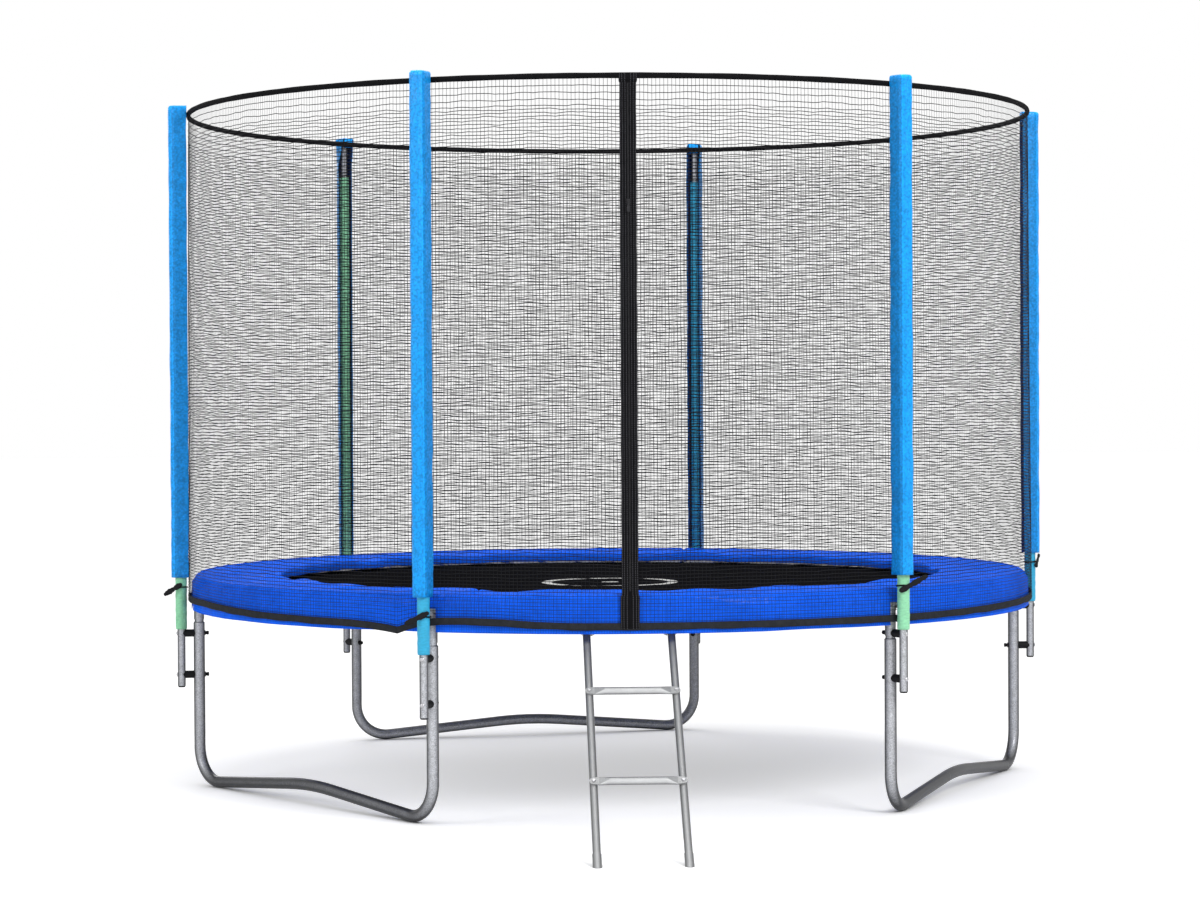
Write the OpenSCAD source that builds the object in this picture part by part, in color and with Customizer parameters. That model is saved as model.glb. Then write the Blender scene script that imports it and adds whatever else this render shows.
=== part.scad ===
// Round garden trampoline with a net enclosure and a hook-on ladder.
// Millimetres, +Z up. The origin is on the ground under the middle of the ring.
// The ladder and the net door face -Y. A turn of 0 points to -Y and grows towards +X.

/* [Ring and legs] */
// Diameter of the ring, to the middle of its tube
ring_d = 3000; // [2400:10:3700]
// Height of the middle of the ring tube
ring_h = 700; // [640:5:860]
// Outer diameter of the ring tube
ring_tube_d = 38; // [34:1:42]
// Outer diameter of the leg tubes
leg_tube_d = 40; // [34:1:45]
// Outer diameter of the leg sockets under the ring
socket_d = 36; // [32:1:38]
// Wall of every frame tube
tube_wall = 1.5; // [1:0.25:2.5]
// Turn from one post of a leg to its other post
leg_span = 56.4; // [44:0.2:58]
// Height of the lower end of the leg sockets
socket_bottom = 592; // [500:2:620]
// Height of the joint between a leg tube and its base bar
leg_joint_h = 172; // [160:2:260]
// Radius of the bends of the base bar
base_bend_r = 120; // [80:5:140]
// Slope of the two halves of the base bar, in degrees
base_slope = 4.8; // [2:0.1:8]
// Radius of the bow in the middle of the base bar
base_bow_r = 1500; // [600:50:2500]
// How far one tube reaches into the next
tube_lap = 60; // [30:5:90]

/* [Poles] */
// Outer diameter of the pole tubes
pole_d = 28; // [22:1:32]
// Distance from a leg's axis to its pole's axis
pole_offset = 63; // [56:1:80]
// Height of the upper pole bolts
bolt_h = 543; // [480:1:560]
// Distance between the two bolts of a pole
bolt_pitch = 148; // [100:1:180]
// Extra height of the bolts on the leg beside the ladder
bolt_lift = 58; // [40:1:80]
// How far a pole reaches below its lower bolt
pole_tail = 40; // [25:1:60]
// Length of the lower pole tubes
lower_pole_l = 940; // [700:10:1100]
// Outer diameter of the foam round the poles
foam_d = 42; // [38:1:46]
// Height of the upper end of the foam
foam_top = 2270; // [1800:10:2300]
// Width of a pole sleeve at its open side
sleeve_w = 67; // [60:1:90]
// Wall of the pole sleeves
sleeve_wall = 2.5; // [1.5:0.5:3]
// Height of the lower end of the pole sleeves above the middle of the ring
sleeve_rise = 43; // [35:1:100]
// Height of the closed upper end of the pole sleeves
sleeve_top = 2426; // [2350:2:2700]

/* [Net] */
// Radius of the padded rim at the top of the net
rim_r = 8; // [6:0.5:10]
// Depth of the rim's middle below the top of the sleeves
rim_drop = 26; // [20:1:40]
// Thickness of the net
net_t = 2; // [1.5:0.5:3]
// Width of the hem at the foot of the net
hem_w = 25; // [18:1:40]
// How far the lower edge of the hem hangs below the middle of the ring
hem_hang = 58; // [30:1:60]
// Width of the zip band of the door
zip_band_w = 54; // [40:2:80]
// Height of the zip slider
slider_h = 2000; // [900:10:2250]

/* [Mat and springs] */
// Number of springs
spring_count = 60; // [48:6:72]
// Outer diameter of a spring
spring_d = 19; // [16:1:22]
// Length of the coiled part of a spring
spring_l = 112; // [90:2:130]
// Thickness of the mat
mat_t = 2; // [1:0.5:3]
// Width of the webbing sewn round the mat
mat_band_w = 42; // [30:2:60]

/* [Safety pad] */
// Width of the pad, from its inner to its outer edge
pad_w = 328; // [260:4:360]
// Thickness of the pad at its middle
pad_t = 30; // [20:1:40]
// How far the lower edge of the skirt hangs below the middle of the ring
skirt_hang = 74; // [62:1:80]

/* [Ladder] */
// Distance between the axes of the two rails
ladder_w = 272; // [230:2:360]
// Outer diameter of the rails
rail_d = 25; // [22:1:30]
// Distance of the feet in front of the ring tube
ladder_reach = 776; // [640:4:860]
// Places of the two rungs, as lengths up the rails
rung_places = [346, 750]; // [300:10:800]
// Diameter of the rungs
rung_d = 24; // [16:1:26]

/* [Hidden] */
$fn = 64;

posts = 6;
fit = 0.3;                                   // clearance between pieces that seat on each other
leg_turns = [63.7, 192.4, 306.9];            // turn of the middle of each leg
leg_lifts = [bolt_lift, 0, 0];               // extra height of the pole bolts on each leg
ring_joint_turn = 6;                         // turn of the joint where the first ring segment starts
neck_h = 8;                                  // visible neck under a socket
shoulder_l = 4;                              // length over which a tube is drawn down to its spigot
bolt_r = 4;
bolt_tail = 12;                              // length of a bolt that stands out inside the leg
spacer_r = 13.4;
wire_r = 1.6;                                // spring wire
hoop_r = 3.5;                                // bare hoop inside the padded rim
lintel_h = 37;                               // height of the lip that closes the sleeve over the rim
zip_gap = 4;
zip_band_t = 2;
ring_side = 30;                              // width of a mat ring
ring_wire = 3.6;
hook_t = 4.5;
hook_plate = 6;
rail_drop = 95;                              // distance from the swing axis to the rails' axes
cap_wall = 1.3;
rung_plate = 5;
rung_tab_r = 13.5;                           // rounded end of a rung on its rail
rung_flat_w = 32;                            // width of a rung where it is pressed flat
rung_flat_in = 17;                           // from the rail's axis to the widest place
tie_r = 1.8;
tie_drops = [35, 33, 34, 34, 34, 64];        // how far each tie hangs below its sleeve
// Turn about the foam, shift sideways and up, length and tilt of the strap of each tie
tie_straps = [
    [-35.5, 29, 7, 107, 29], [-46, 8, 4, 55, 65], [0, 0, 0, 80, 30],
    [0, 0, 0, 80, 30], [80, -26, -8, 76, 32], [25, -21, -3, 88, 26]
];
pad_steps = 96;
pad_across = [0.01, 0.12, 0.5, 0.8, 0.965, 0.995, 1, 0.97, 0.8, 0.5, 0.2, 0.03, 0];
pad_up = [0, 0, 0, 0, 0, 0, 0.45, 0.8, 0.97, 1, 0.95, 0.72, 0.35];

STEEL = "#8d9196";
LADDER = "#b4b7b9";
BLUE = "#0f7fe8";
PAD_BLUE = "#2456d8";
BLACK = "#1c1d20";

ring_r = ring_d / 2;
sleeve_bottom = ring_h + sleeve_rise;
hem_bottom = ring_h - hem_hang;
skirt_bottom = ring_h - skirt_hang;
ring_tube_r = ring_tube_d / 2;
leg_tube_r = leg_tube_d / 2;
pole_r = pole_d / 2;
foam_r = foam_d / 2;
rail_r = rail_d / 2;

ring_span = 360 / posts;
lap_turn = turn_of(tube_lap);
gap_turn = turn_of(fit);
shoulder_turn = turn_of(shoulder_l);
spigot_r = ring_tube_r - tube_wall - fit;
socket_r = socket_d / 2;
socket_bore_r = socket_r - tube_wall;
leg_spigot_r = socket_bore_r - fit;
base_spigot_r = leg_tube_r - tube_wall - fit;
leg_top = socket_bottom - neck_h;

half_chord = ring_r * sin(leg_span / 2);
chord_mid_r = ring_r * cos(leg_span / 2);
bend_z = leg_tube_r + base_bend_r;
arm_x = half_chord - base_bend_r - base_bend_r * sin(base_slope);
arm_z = bend_z - base_bend_r * cos(base_slope);
arm_l = (arm_x - base_bow_r * sin(base_slope)) / cos(base_slope);
bow_z = arm_z + arm_l * sin(base_slope) - base_bow_r * cos(base_slope);

pole_turn_r = ring_r + pole_offset;
pole_spigot_r = pole_r - tube_wall - fit;
pole_top = sleeve_top - sleeve_wall - fit;
sleeve_back = foam_r + 10.5;                 // from the pole's axis to the outside of the sleeve
sleeve_front = foam_r + 1;                   // from the pole's axis to the open side

rim_mid_r = ring_r + 23;
rim_h = sleeve_top - rim_drop;
net_foot_r = ring_r + 33;                    // inner face of the net at its hem
net_head_r = rim_mid_r - net_t / 2;          // and at the rim
net_top = rim_h - rim_r - fit;
net_slope = atan((net_foot_r - net_head_r) / (net_top - hem_bottom));
lintel_y = pole_offset - (rim_mid_r + rim_r + fit - ring_r);

zip_angle = zip_band_w / net_foot_r * 180 / PI;
zip_out = net_t + 1 + fit;                   // from the net's inner face to the band
zip_top = net_top - 12;
slider_y = net_r(slider_h) + zip_out + zip_band_t + fit;

spring_pitch = 360 / spring_count;
spring_ring_end = ring_r - ring_tube_r - 12; // where the coil ends on the ring's side
spring_mat_end = spring_ring_end - spring_l;
ring_apex = spring_mat_end - 22;             // outer point of a mat ring
ring_depth = ring_side * 0.8;
mat_r = ring_apex - ring_depth;
hook_z = ring_wire / 2 + wire_r + 0.5;       // spring hook above the middle of the mat rings

pad_outer = ring_r + 29.5;
pad_inner = pad_outer - pad_w;
pad_low = ring_h + ring_tube_r + fit;        // underside over the ring
pad_inner_low = ring_h + spring_d / 2 + 1.5; // underside over the springs

hook_r = ring_tube_r + 0.6;                  // inside of a ladder hook
hook_x = ladder_w / 2 - rail_r - hook_plate / 2 - fit;
swing_y = sqrt(ring_r * ring_r - hook_x * hook_x);
foot_dist = norm([ladder_reach, ring_h]);    // from the swing axis to where the rails meet the ground
lean_extra = asin(rail_drop / foot_dist);
ladder_lean = atan2(ladder_reach, ring_h) + lean_extra;
rail_run = foot_dist * cos(lean_extra);      // from the ground to the hook bolts, along a rail
rail_top = rail_run + 22;
rail_low = rail_r * tan(ladder_lean) + 4;
rung_y = rail_r + rung_plate / 2 + fit;

function turn_of(arc) = arc / ring_r * 180 / PI;
function leg_of(i) = floor((i - 1) / 2);
function post_turn(i) = leg_turns[leg_of(i)] + (i % 2 == 1 ? -1 : 1) * leg_span / 2;
function upper_bolt(i) = bolt_h + leg_lifts[leg_of(i)];
function lower_bolt(i) = upper_bolt(i) - bolt_pitch;
function pole_bottom(i) = lower_bolt(i) - pole_tail;
function pole_joint(i) = pole_bottom(i) + lower_pole_l;
function sleeve_low(i) = sleeve_bottom + leg_lifts[leg_of(i)] * 0.9;
function spring_turn(k) = spring_pitch * (k + 0.5);
function net_r(z) = net_foot_r + (net_head_r - net_foot_r) * (z - hem_bottom) / (net_top - hem_bottom);

module at_turn(turn, r, z = 0) {
    rotate([0, 0, turn]) translate([0, -r, z]) children();
}

// Places the children at every post, with $post telling them which one
module at_posts(r) {
    for ($post = [1:posts]) rotate([0, 0, post_turn($post)]) translate([0, -r, 0]) children();
}

// An upright tube, open at both ends
module tube(r, wall, l) {
    difference() {
        cylinder(r = r, h = l);
        translate([0, 0, -1]) cylinder(r = r - wall, h = l + 2);
    }
}

// Solid bar of radius r that follows the ring from one turn through an angle
module ring_bar(turn, angle, r) {
    rotate([0, 0, turn - 90]) translate([0, 0, ring_h])
        rotate_extrude(angle = angle) translate([ring_r, 0]) circle(r = r);
}

// The two holes across a leg and its pole
module bolt_holes(i) {
    for (h = [upper_bolt(i), lower_bolt(i)])
        at_turn(post_turn(i), ring_r - leg_tube_r - 1, h) rotate([90, 0, 0])
            cylinder(r = bolt_r + fit, h = pole_offset + leg_tube_r + pole_r + 3);
}

// ---- Ring ----
// Holes on the inner side that the spring hooks of one segment and of its spigot reach into
module spring_holes(start) {
    for (k = [0:spring_count - 1])
        if ((spring_turn(k) - start + 720) % 360 < ring_span + lap_turn)
            at_turn(spring_turn(k), ring_r - ring_tube_r - 4, ring_h)
                rotate([90, 0, 0]) cylinder(r = wire_r + 0.4, h = 12, $fn = 24);
}

module ring_segment(i) {
    start = ring_joint_turn + (i - 1) * ring_span;
    body = ring_span - gap_turn;
    color(STEEL) difference() {
        union() {
            ring_bar(start, body, ring_tube_r);
            ring_bar(start + body - shoulder_turn, shoulder_turn + lap_turn, spigot_r);
            at_turn(post_turn(i), ring_r, socket_bottom) cylinder(r = socket_r, h = ring_h - socket_bottom);
            at_turn(post_turn(i), ring_r, ring_h - ring_tube_r - 7) cylinder(r1 = socket_r, r2 = socket_r + 3, h = 7);
        }
        ring_bar(start - 1, body + 1 - shoulder_turn, ring_tube_r - tube_wall);
        ring_bar(start + body - 2 * shoulder_turn, lap_turn + 1, spigot_r - tube_wall);
        at_turn(post_turn(i), ring_r, socket_bottom - 1)
            cylinder(r = socket_bore_r, h = ring_h - ring_tube_r - socket_bottom);
        spring_holes(start);
        bolt_holes(i);
    }
}

// ---- Legs ----
module leg_tube(i) {
    spigot_l = tube_lap + neck_h;
    color(STEEL) difference() {
        at_turn(post_turn(i), ring_r, leg_joint_h + fit) difference() {
            union() {
                cylinder(r = leg_tube_r, h = leg_top - leg_joint_h - fit - shoulder_l);
                translate([0, 0, leg_top - leg_joint_h - fit - shoulder_l])
                    cylinder(r1 = leg_tube_r, r2 = leg_spigot_r, h = shoulder_l);
                cylinder(r = leg_spigot_r, h = leg_top - leg_joint_h - fit + spigot_l);
            }
            translate([0, 0, -1]) cylinder(r = leg_tube_r - tube_wall, h = leg_top - leg_joint_h - 2 * shoulder_l);
            cylinder(r = leg_spigot_r - tube_wall, h = leg_top - leg_joint_h + spigot_l + 1);
        }
        bolt_holes(i);
    }
}

// A bent length of tube, made by turning its section about the bend's middle
module bent_tube(bend_r, angle) {
    rotate([90, 0, 0]) rotate([0, 0, -90 - base_slope]) rotate_extrude(angle = angle)
        translate([bend_r, 0]) difference() {
            circle(r = leg_tube_r);
            circle(r = leg_tube_r - tube_wall);
        }
}

// The base bar in its own plane: X along the chord, Z up, the middle of the chord at X = 0.
// Straight lengths are a weld step thinner than the bends, so that each has its own edge where they meet.
module leg_base(l) {
    step = 0.2;
    lap = 0.1;
    post_l = leg_joint_h - bend_z;
    color(STEEL) at_turn(leg_turns[l - 1], chord_mid_r) {
        translate([0, 0, bow_z]) rotate([0, -180, 0]) bent_tube(base_bow_r, 2 * base_slope);
        for (side = [0, 1]) mirror([side, 0, 0]) {
            translate([arm_x, 0, arm_z]) rotate([0, base_slope - 90, 0]) translate([0, 0, -lap])
                tube(leg_tube_r - step, tube_wall - 2 * step, arm_l + 2 * lap);
            translate([half_chord - base_bend_r, 0, bend_z]) bent_tube(base_bend_r, 90 + base_slope);
            translate([half_chord, 0, bend_z - lap]) difference() {
                union() {
                    cylinder(r = leg_tube_r - step, h = post_l + lap);
                    cylinder(r = base_spigot_r, h = post_l + tube_lap);
                }
                translate([0, 0, -1]) cylinder(r = leg_tube_r - tube_wall + step, h = post_l - shoulder_l + 1);
                cylinder(r = base_spigot_r - tube_wall, h = post_l + tube_lap + 1);
            }
        }
    }
}

// ---- Poles ----
module pole_lower(i) {
    color(STEEL) difference() {
        at_turn(post_turn(i), pole_turn_r, pole_bottom(i)) difference() {
            union() {
                cylinder(r = pole_r, h = lower_pole_l - fit);
                cylinder(r = pole_spigot_r, h = lower_pole_l + tube_lap);
            }
            translate([0, 0, -1]) cylinder(r = pole_r - tube_wall, h = lower_pole_l - shoulder_l);
            cylinder(r = pole_spigot_r - tube_wall, h = lower_pole_l + tube_lap + 1);
        }
        bolt_holes(i);
    }
}

module pole_upper(i) {
    color(STEEL) at_turn(post_turn(i), pole_turn_r, pole_joint(i)) tube(pole_r, tube_wall, pole_top - pole_joint(i));
}

module pole_end_plugs() {
    color(BLACK) at_posts(pole_turn_r) translate([0, 0, pole_bottom($post)]) {
        translate([0, 0, -fit]) rotate([180, 0, 0]) cylinder(r1 = pole_r, r2 = pole_r - 3, h = 5);
        translate([0, 0, -1]) cylinder(r = pole_r - tube_wall - fit, h = 16);
    }
}

module foam(i) {
    bottom = upper_bolt(i) + spacer_r + 1;
    at_turn(post_turn(i), pole_turn_r, bottom) tube(foam_r, foam_r - pole_r - fit, foam_top - bottom);
}

module foam_green() { color("#8fd6a2") for (i = [1, 4, 5]) foam(i); }
module foam_cyan() { color("#3ab4e0") for (i = [2, 3, 6]) foam(i); }

module pole_spacers() {
    color(BLACK) at_posts(ring_r) for (h = [upper_bolt($post), lower_bolt($post)]) translate([0, 0, h]) difference() {
        rotate([90, 0, 0]) cylinder(r = spacer_r, h = pole_offset);
        translate([0, 0, -spacer_r - 1]) cylinder(r = leg_tube_r + fit, h = 2 * spacer_r + 2);
        translate([0, -pole_offset, -spacer_r - 1]) cylinder(r = pole_r + fit, h = 2 * spacer_r + 2);
        rotate([90, 0, 0]) cylinder(r = bolt_r + fit, h = pole_offset + 1);
    }
}

// Domed bolts from the outside of the pole through the spacer and the leg
module pole_bolts() {
    color("#b9bcc0") at_posts(ring_r + pole_offset + pole_r + fit)
        for (h = [upper_bolt($post), lower_bolt($post)]) translate([0, 0, h]) rotate([-90, 0, 0]) {
            cylinder(r = bolt_r, h = pole_offset + pole_r + leg_tube_r + bolt_tail);
            intersection() {
                translate([0, 0, 4.5]) sphere(r = 9);
                translate([0, 0, -5]) cylinder(r = 8, h = 5);
            }
        }
}

module pole_nuts() {
    color(BLACK) at_posts(ring_r - leg_tube_r - fit)
        for (h = [upper_bolt($post), lower_bolt($post)]) translate([0, 0, h]) rotate([-90, 0, 0]) difference() {
            union() {
                cylinder(r = 9, h = 2);
                cylinder(r = 6, h = 8);
                translate([0, 0, 7]) cylinder(r = 7.5, h = bolt_tail - 5, $fn = 6);
            }
            translate([0, 0, -1]) cylinder(r = bolt_r + fit, h = bolt_tail + 1.5);
        }
}

// ---- Pole sleeves ----
// Outline in a plane, drawn in by an amount t; +Y is the open side, towards the net
function sleeve_outline(t) = [
    [t - sleeve_w / 2, sleeve_front], [t + 2 - sleeve_w / 2, t - 12], [t + 9 - sleeve_w / 2, t - sleeve_back * 0.72],
    [t * 0.7 + 20 - sleeve_w / 2, t - sleeve_back], [sleeve_w / 2 - 20 - t * 0.7, t - sleeve_back],
    [sleeve_w / 2 - 9 - t, t - sleeve_back * 0.72], [sleeve_w / 2 - 2 - t, t - 12], [sleeve_w / 2 - t, sleeve_front]
];

module pole_sleeve(i) {
    low = sleeve_low(i);
    color(BLUE) at_turn(post_turn(i), pole_turn_r) {
        difference() {
            translate([0, 0, low]) linear_extrude(sleeve_top - low) polygon(sleeve_outline(0));
            translate([0, 0.01, low - 1]) linear_extrude(sleeve_top - sleeve_wall - low + 1)
                polygon(sleeve_outline(sleeve_wall));
        }
        translate([-sleeve_w / 2, sleeve_front - sleeve_wall, sleeve_top - lintel_h])
            cube([sleeve_w, lintel_y - sleeve_front + sleeve_wall, lintel_h]);
    }
}

// ---- Net ----
// A band that follows the net, from a distance out of its inner face, between two heights
module net_strip(angle, z0, z1, out, thick) {
    rotate([0, 0, -90 - angle / 2]) rotate_extrude(angle = angle) polygon([
        [net_r(z0) + out, z0], [net_r(z0) + out + thick, z0], [net_r(z1) + out + thick, z1], [net_r(z1) + out, z1]
    ]);
}

module net_wall() {
    color(BLACK) difference() {
        net_strip(360, hem_bottom + hem_w + fit, net_top, 0, net_t);
        translate([-zip_gap / 2, -net_foot_r - 10, hem_bottom + hem_w + 60])
            cube([zip_gap, 40, net_top - hem_bottom - hem_w - 120]);
    }
}

module net_hem_band() { color("#33353a") net_strip(360, hem_bottom, hem_bottom + hem_w, -1, net_t + 2); }

module net_top_hoop() {
    color("#d8d4c8") translate([0, 0, rim_h]) rotate_extrude() translate([rim_mid_r, 0]) circle(r = hoop_r);
}

module net_top_band() {
    color(BLACK) translate([0, 0, rim_h]) rotate_extrude() translate([rim_mid_r, 0]) difference() {
        circle(r = rim_r);
        circle(r = hoop_r + fit);
    }
}

// ---- Door zip ----
// The band follows the net and steps out over the padded rim
module zip_band() {
    out = rim_mid_r + rim_r + fit;
    color(BLACK) {
        rotate([0, 0, -90 - zip_angle / 2]) rotate_extrude(angle = zip_angle) polygon([
            [net_r(hem_bottom) + zip_out, hem_bottom + 2], [net_r(hem_bottom) + zip_out + zip_band_t, hem_bottom + 2],
            [net_r(zip_top) + zip_out + zip_band_t, zip_top], [out + zip_band_t, zip_top + 6],
            [out + zip_band_t, rim_h + rim_r], [out, rim_h + rim_r], [out, zip_top + 6], [net_r(zip_top) + zip_out, zip_top]
        ]);
        net_strip(zip_angle * 1.16, hem_bottom + 2, hem_bottom + 110, zip_out, zip_band_t + 0.6);
    }
}

module on_zip() {
    translate([0, -slider_y, slider_h]) rotate([-net_slope, 0, 0]) children();
}

module zip_slider() {
    color("#2c2e33") on_zip() {
        translate([-6, -4, -9]) cube([12, 4, 18]);
        for (x = [-3.4, 1.8]) translate([x, -9.5, 1]) cube([1.6, 6, 6]);
        translate([-3, -7.5, 4]) rotate([0, 90, 0]) cylinder(r = 0.9, h = 6, $fn = 24);
    }
}

module zip_pull() {
    color("#2c2e33") on_zip() translate([0, -7.5, 4]) {
        difference() {
            union() {
                translate([-1.5, 0, 0]) rotate([0, 90, 0]) cylinder(r = 2.6, h = 3, $fn = 24);
                translate([-1.5, -1.2, -34]) cube([3, 2.4, 33]);
            }
            translate([-5, 0, 0]) rotate([0, 90, 0]) cylinder(r = 0.9 + fit, h = 10, $fn = 24);
        }
        translate([-5, -1.2, -36]) cube([10, 2.4, 20]);
    }
}

// ---- Mat, rings and springs ----
module jump_mat() {
    color("#17181a") translate([0, 0, ring_h - mat_t / 2]) cylinder(r = mat_r - mat_band_w - fit, h = mat_t);
}

module mat_edge_band() {
    color(BLACK) translate([0, 0, ring_h - 2.5]) difference() {
        cylinder(r = mat_r - fit, h = 5);
        translate([0, 0, -1]) cylinder(r = mat_r - mat_band_w, h = 7);
    }
}

// A triangle of bent wire, its base against the webbing and its point towards the spring
module mat_ring() {
    window = ring_side / 2 - ring_wire * 1.6;
    translate([0, 0, -ring_wire / 2]) linear_extrude(ring_wire) difference() {
        polygon([[0, 0], [ring_side / 2, ring_depth], [-ring_side / 2, ring_depth]]);
        polygon([[0, ring_wire * 2], [window, ring_depth - ring_wire], [-window, ring_depth - ring_wire]]);
    }
}

module mat_rings() {
    color("#a9acb0") for (k = [0:spring_count - 1]) at_turn(spring_turn(k), ring_apex, ring_h) mat_ring();
}

// A wire that starts at a distance in from the coil's mat end and runs outwards
module spring_wire(from, z, l) {
    translate([0, from, z]) rotate([90, 0, 0]) cylinder(r = wire_r, h = l, $fn = 24);
}

module mat_springs() {
    reach = spring_mat_end - ring_apex;
    color("#c0c3c6") for (k = [0:spring_count - 1]) at_turn(spring_turn(k), spring_mat_end, ring_h) {
        rotate([90, 0, 0]) rotate_extrude($fn = 32) polygon([
            [0, 0], [spring_d / 2, 0], [spring_d / 2, spring_l], [0, spring_l], [0, spring_l - 4],
            [spring_d / 2 - 3.2, spring_l - 4], [spring_d / 2 - 3.2, 4], [0, 4]
        ]);
        spring_wire(-spring_l + 1, 0, ring_r - ring_tube_r + 5 - spring_ring_end);
        spring_wire(reach + 12, hook_z, reach + 14);
        translate([0, reach + 12, hook_z - 9.4]) cylinder(r = wire_r, h = 11, $fn = 24);
    }
}

// ---- Safety pad ----
// Height of the underside: it rises from the springs to the ring, and clears the hooks near the ladder
function near_ladder(a) = abs(a) < 8 ? 1 : max(0, (16 - abs(a)) / 8);
function pad_under(u, a) =
    pad_inner_low + (pad_low - pad_inner_low) * min(1, u / 0.75)
    + (hook_t + 1.4) * near_ladder(a) * (u > 0.99 ? 0 : min(1, u / 0.6));
// Edges that wave in and out a little, as sewn vinyl does
function edge_wave(a) = 5 * sin(a * 7) + 4 * sin(a * 11 + 40) + 2.5 * sin(a * 19 + 80);
// One cross-section at angle a: across the underside, then back over the crowned top
function pad_point(a, j) =
    let (
        inner = pad_inner + edge_wave(a) * 1.6,
        u = pad_across[j],
        r = inner + (pad_outer - inner) * u,
        puff = 1 + 0.05 * sin(a * 13) * sin(u * 180),
        z = pad_under(u, a) + pad_t * pad_up[j] * puff
    ) [r * sin(a), -r * cos(a), z];

module safety_pad() {
    m = len(pad_across);
    points = [for (s = [0:pad_steps - 1], j = [0:m - 1]) pad_point(s * 360 / pad_steps - 180, j)];
    faces = [for (s = [0:pad_steps - 1], j = [0:m - 1])
        let (t = (s + 1) % pad_steps, k = (j + 1) % m)
        each [[s * m + j, t * m + j, t * m + k], [s * m + j, t * m + k, s * m + k]]];
    color(PAD_BLUE) polyhedron(points, faces);
}

module pad_skirt() {
    color(PAD_BLUE) difference() {
        rotate_extrude() polygon([
            [pad_outer - 4, pad_low - fit], [pad_outer - 3.5, skirt_bottom],
            [pad_outer - 1.5, skirt_bottom], [pad_outer - 2, pad_low - fit]
        ]);
        at_posts(pad_outer + 10) translate([-23, 0, skirt_bottom - 1]) cube([46, 40, ring_h + 4 - skirt_bottom]);
    }
}

// ---- Net ties ----
// A cord round the foam of every pole, and a strap that hangs askew on it
module at_ties() {
    at_posts(pole_turn_r) translate([0, 0, sleeve_low($post) - tie_drops[$post - 1]]) children();
}

module net_ties() {
    color(BLACK) at_ties() rotate_extrude() translate([foam_r + fit + tie_r, 0]) circle(r = tie_r, $fn = 24);
}

module tie_toggles() {
    end_r = 7;
    color(BLACK) at_ties() let (strap = tie_straps[$post - 1], half = strap[3] / 2 - end_r)
        rotate([0, 0, strap[0]]) translate([strap[1], -foam_r - 2 * (fit + tie_r), strap[2]]) rotate([0, -strap[4], 0]) {
            translate([-half, -5, -end_r]) cube([2 * half, 5, 2 * end_r]);
            for (x = [-half, half]) translate([x, 0, 0]) rotate([90, 0, 0]) cylinder(r = end_r, h = 5);
        }
}

// ---- Ladder ----
// Origin where the rails' axes meet the ground, Z up along the rails, -Y out of the front
module on_ladder() {
    translate([0, -swing_y - ladder_reach, 0]) rotate([-ladder_lean, 0, 0]) children();
}

module ladder_rail(x) {
    color(LADDER) on_ladder() translate([x, 0, 0]) difference() {
        translate([0, 0, rail_low]) tube(rail_r, tube_wall, rail_top - rail_low);
        for (s = rung_places) translate([0, 20, s]) rotate([90, 0, 0]) cylinder(r = 3.3, h = 40);
        translate([-20, 0, rail_run]) rotate([0, 90, 0]) cylinder(r = 4.3, h = 40);
    }
}

// A tube whose ends are pressed flat against the rails
module ladder_rung() {
    rotate([0, 90, 0]) cylinder(r = rung_d / 2, h = ladder_w - 100, center = true);
    for (side = [0, 1]) mirror([side, 0, 0]) difference() {
        union() {
            hull() {
                translate([ladder_w / 2 - 51, 0, 0]) rotate([0, 90, 0]) cylinder(r = rung_d / 2, h = 2, $fn = 32);
                rung_flat();
            }
            hull() {
                rung_flat();
                translate([ladder_w / 2, rung_plate / 2, 0]) rotate([90, 0, 0])
                    cylinder(r = rung_tab_r, h = rung_plate, $fn = 32);
            }
        }
        translate([ladder_w / 2, 20, 0]) rotate([90, 0, 0]) cylinder(r = 3.3, h = 40);
    }
}

// The widest part of a pressed end
module rung_flat() {
    translate([ladder_w / 2 - rung_flat_in, 0, 0]) cube([1, rung_plate, rung_flat_w], center = true);
}

module ladder_rungs() {
    color(LADDER) on_ladder() for (s = rung_places) translate([0, -rung_y, s]) ladder_rung();
}

// Flat strap that reaches up from a rail inside the ring and bends over its top
module ladder_hooks() {
    color(LADDER) for (side = [-1, 1]) translate([side * hook_x - hook_plate / 2, -swing_y, ring_h])
        rotate([90, 0, 90]) linear_extrude(hook_plate) difference() {
            union() {
                circle(r = hook_r + hook_t);
                rotate(-ladder_lean) translate([0, -9]) square([rail_drop, 18]);
                rotate(-ladder_lean) translate([rail_drop, 0]) circle(r = 9);
            }
            circle(r = hook_r);
            rotate(-ladder_lean) translate([rail_drop, 0]) circle(r = 4.3);
            rotate(162) square([60, 60]);
            rotate(188) square([60, 60]);
        }
}

// Bolt along +Z whose head is at the origin, with its nut at a distance
module small_bolt(r, grip) {
    translate([0, 0, -4]) cylinder(r1 = r + 1.5, r2 = r + 3, h = 4);
    cylinder(r = r, h = grip + 8);
    translate([0, 0, grip]) cylinder(r = r + 3, h = 5, $fn = 6);
}

module ladder_bolts() {
    rung_grip = rung_plate + rail_d + 2 * fit + fit;
    hook_grip = rail_d + hook_plate + 3 * fit;
    color("#c9ccd0") on_ladder() {
        for (s = rung_places, side = [-1, 1])
            translate([side * ladder_w / 2, -rung_y - rung_plate / 2 - fit, s]) rotate([-90, 0, 0]) small_bolt(3, rung_grip);
        for (side = [0, 1]) mirror([side, 0, 0])
            translate([ladder_w / 2 + rail_r + fit, 0, rail_run]) rotate([0, -90, 0]) small_bolt(4, hook_grip);
    }
}

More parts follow.
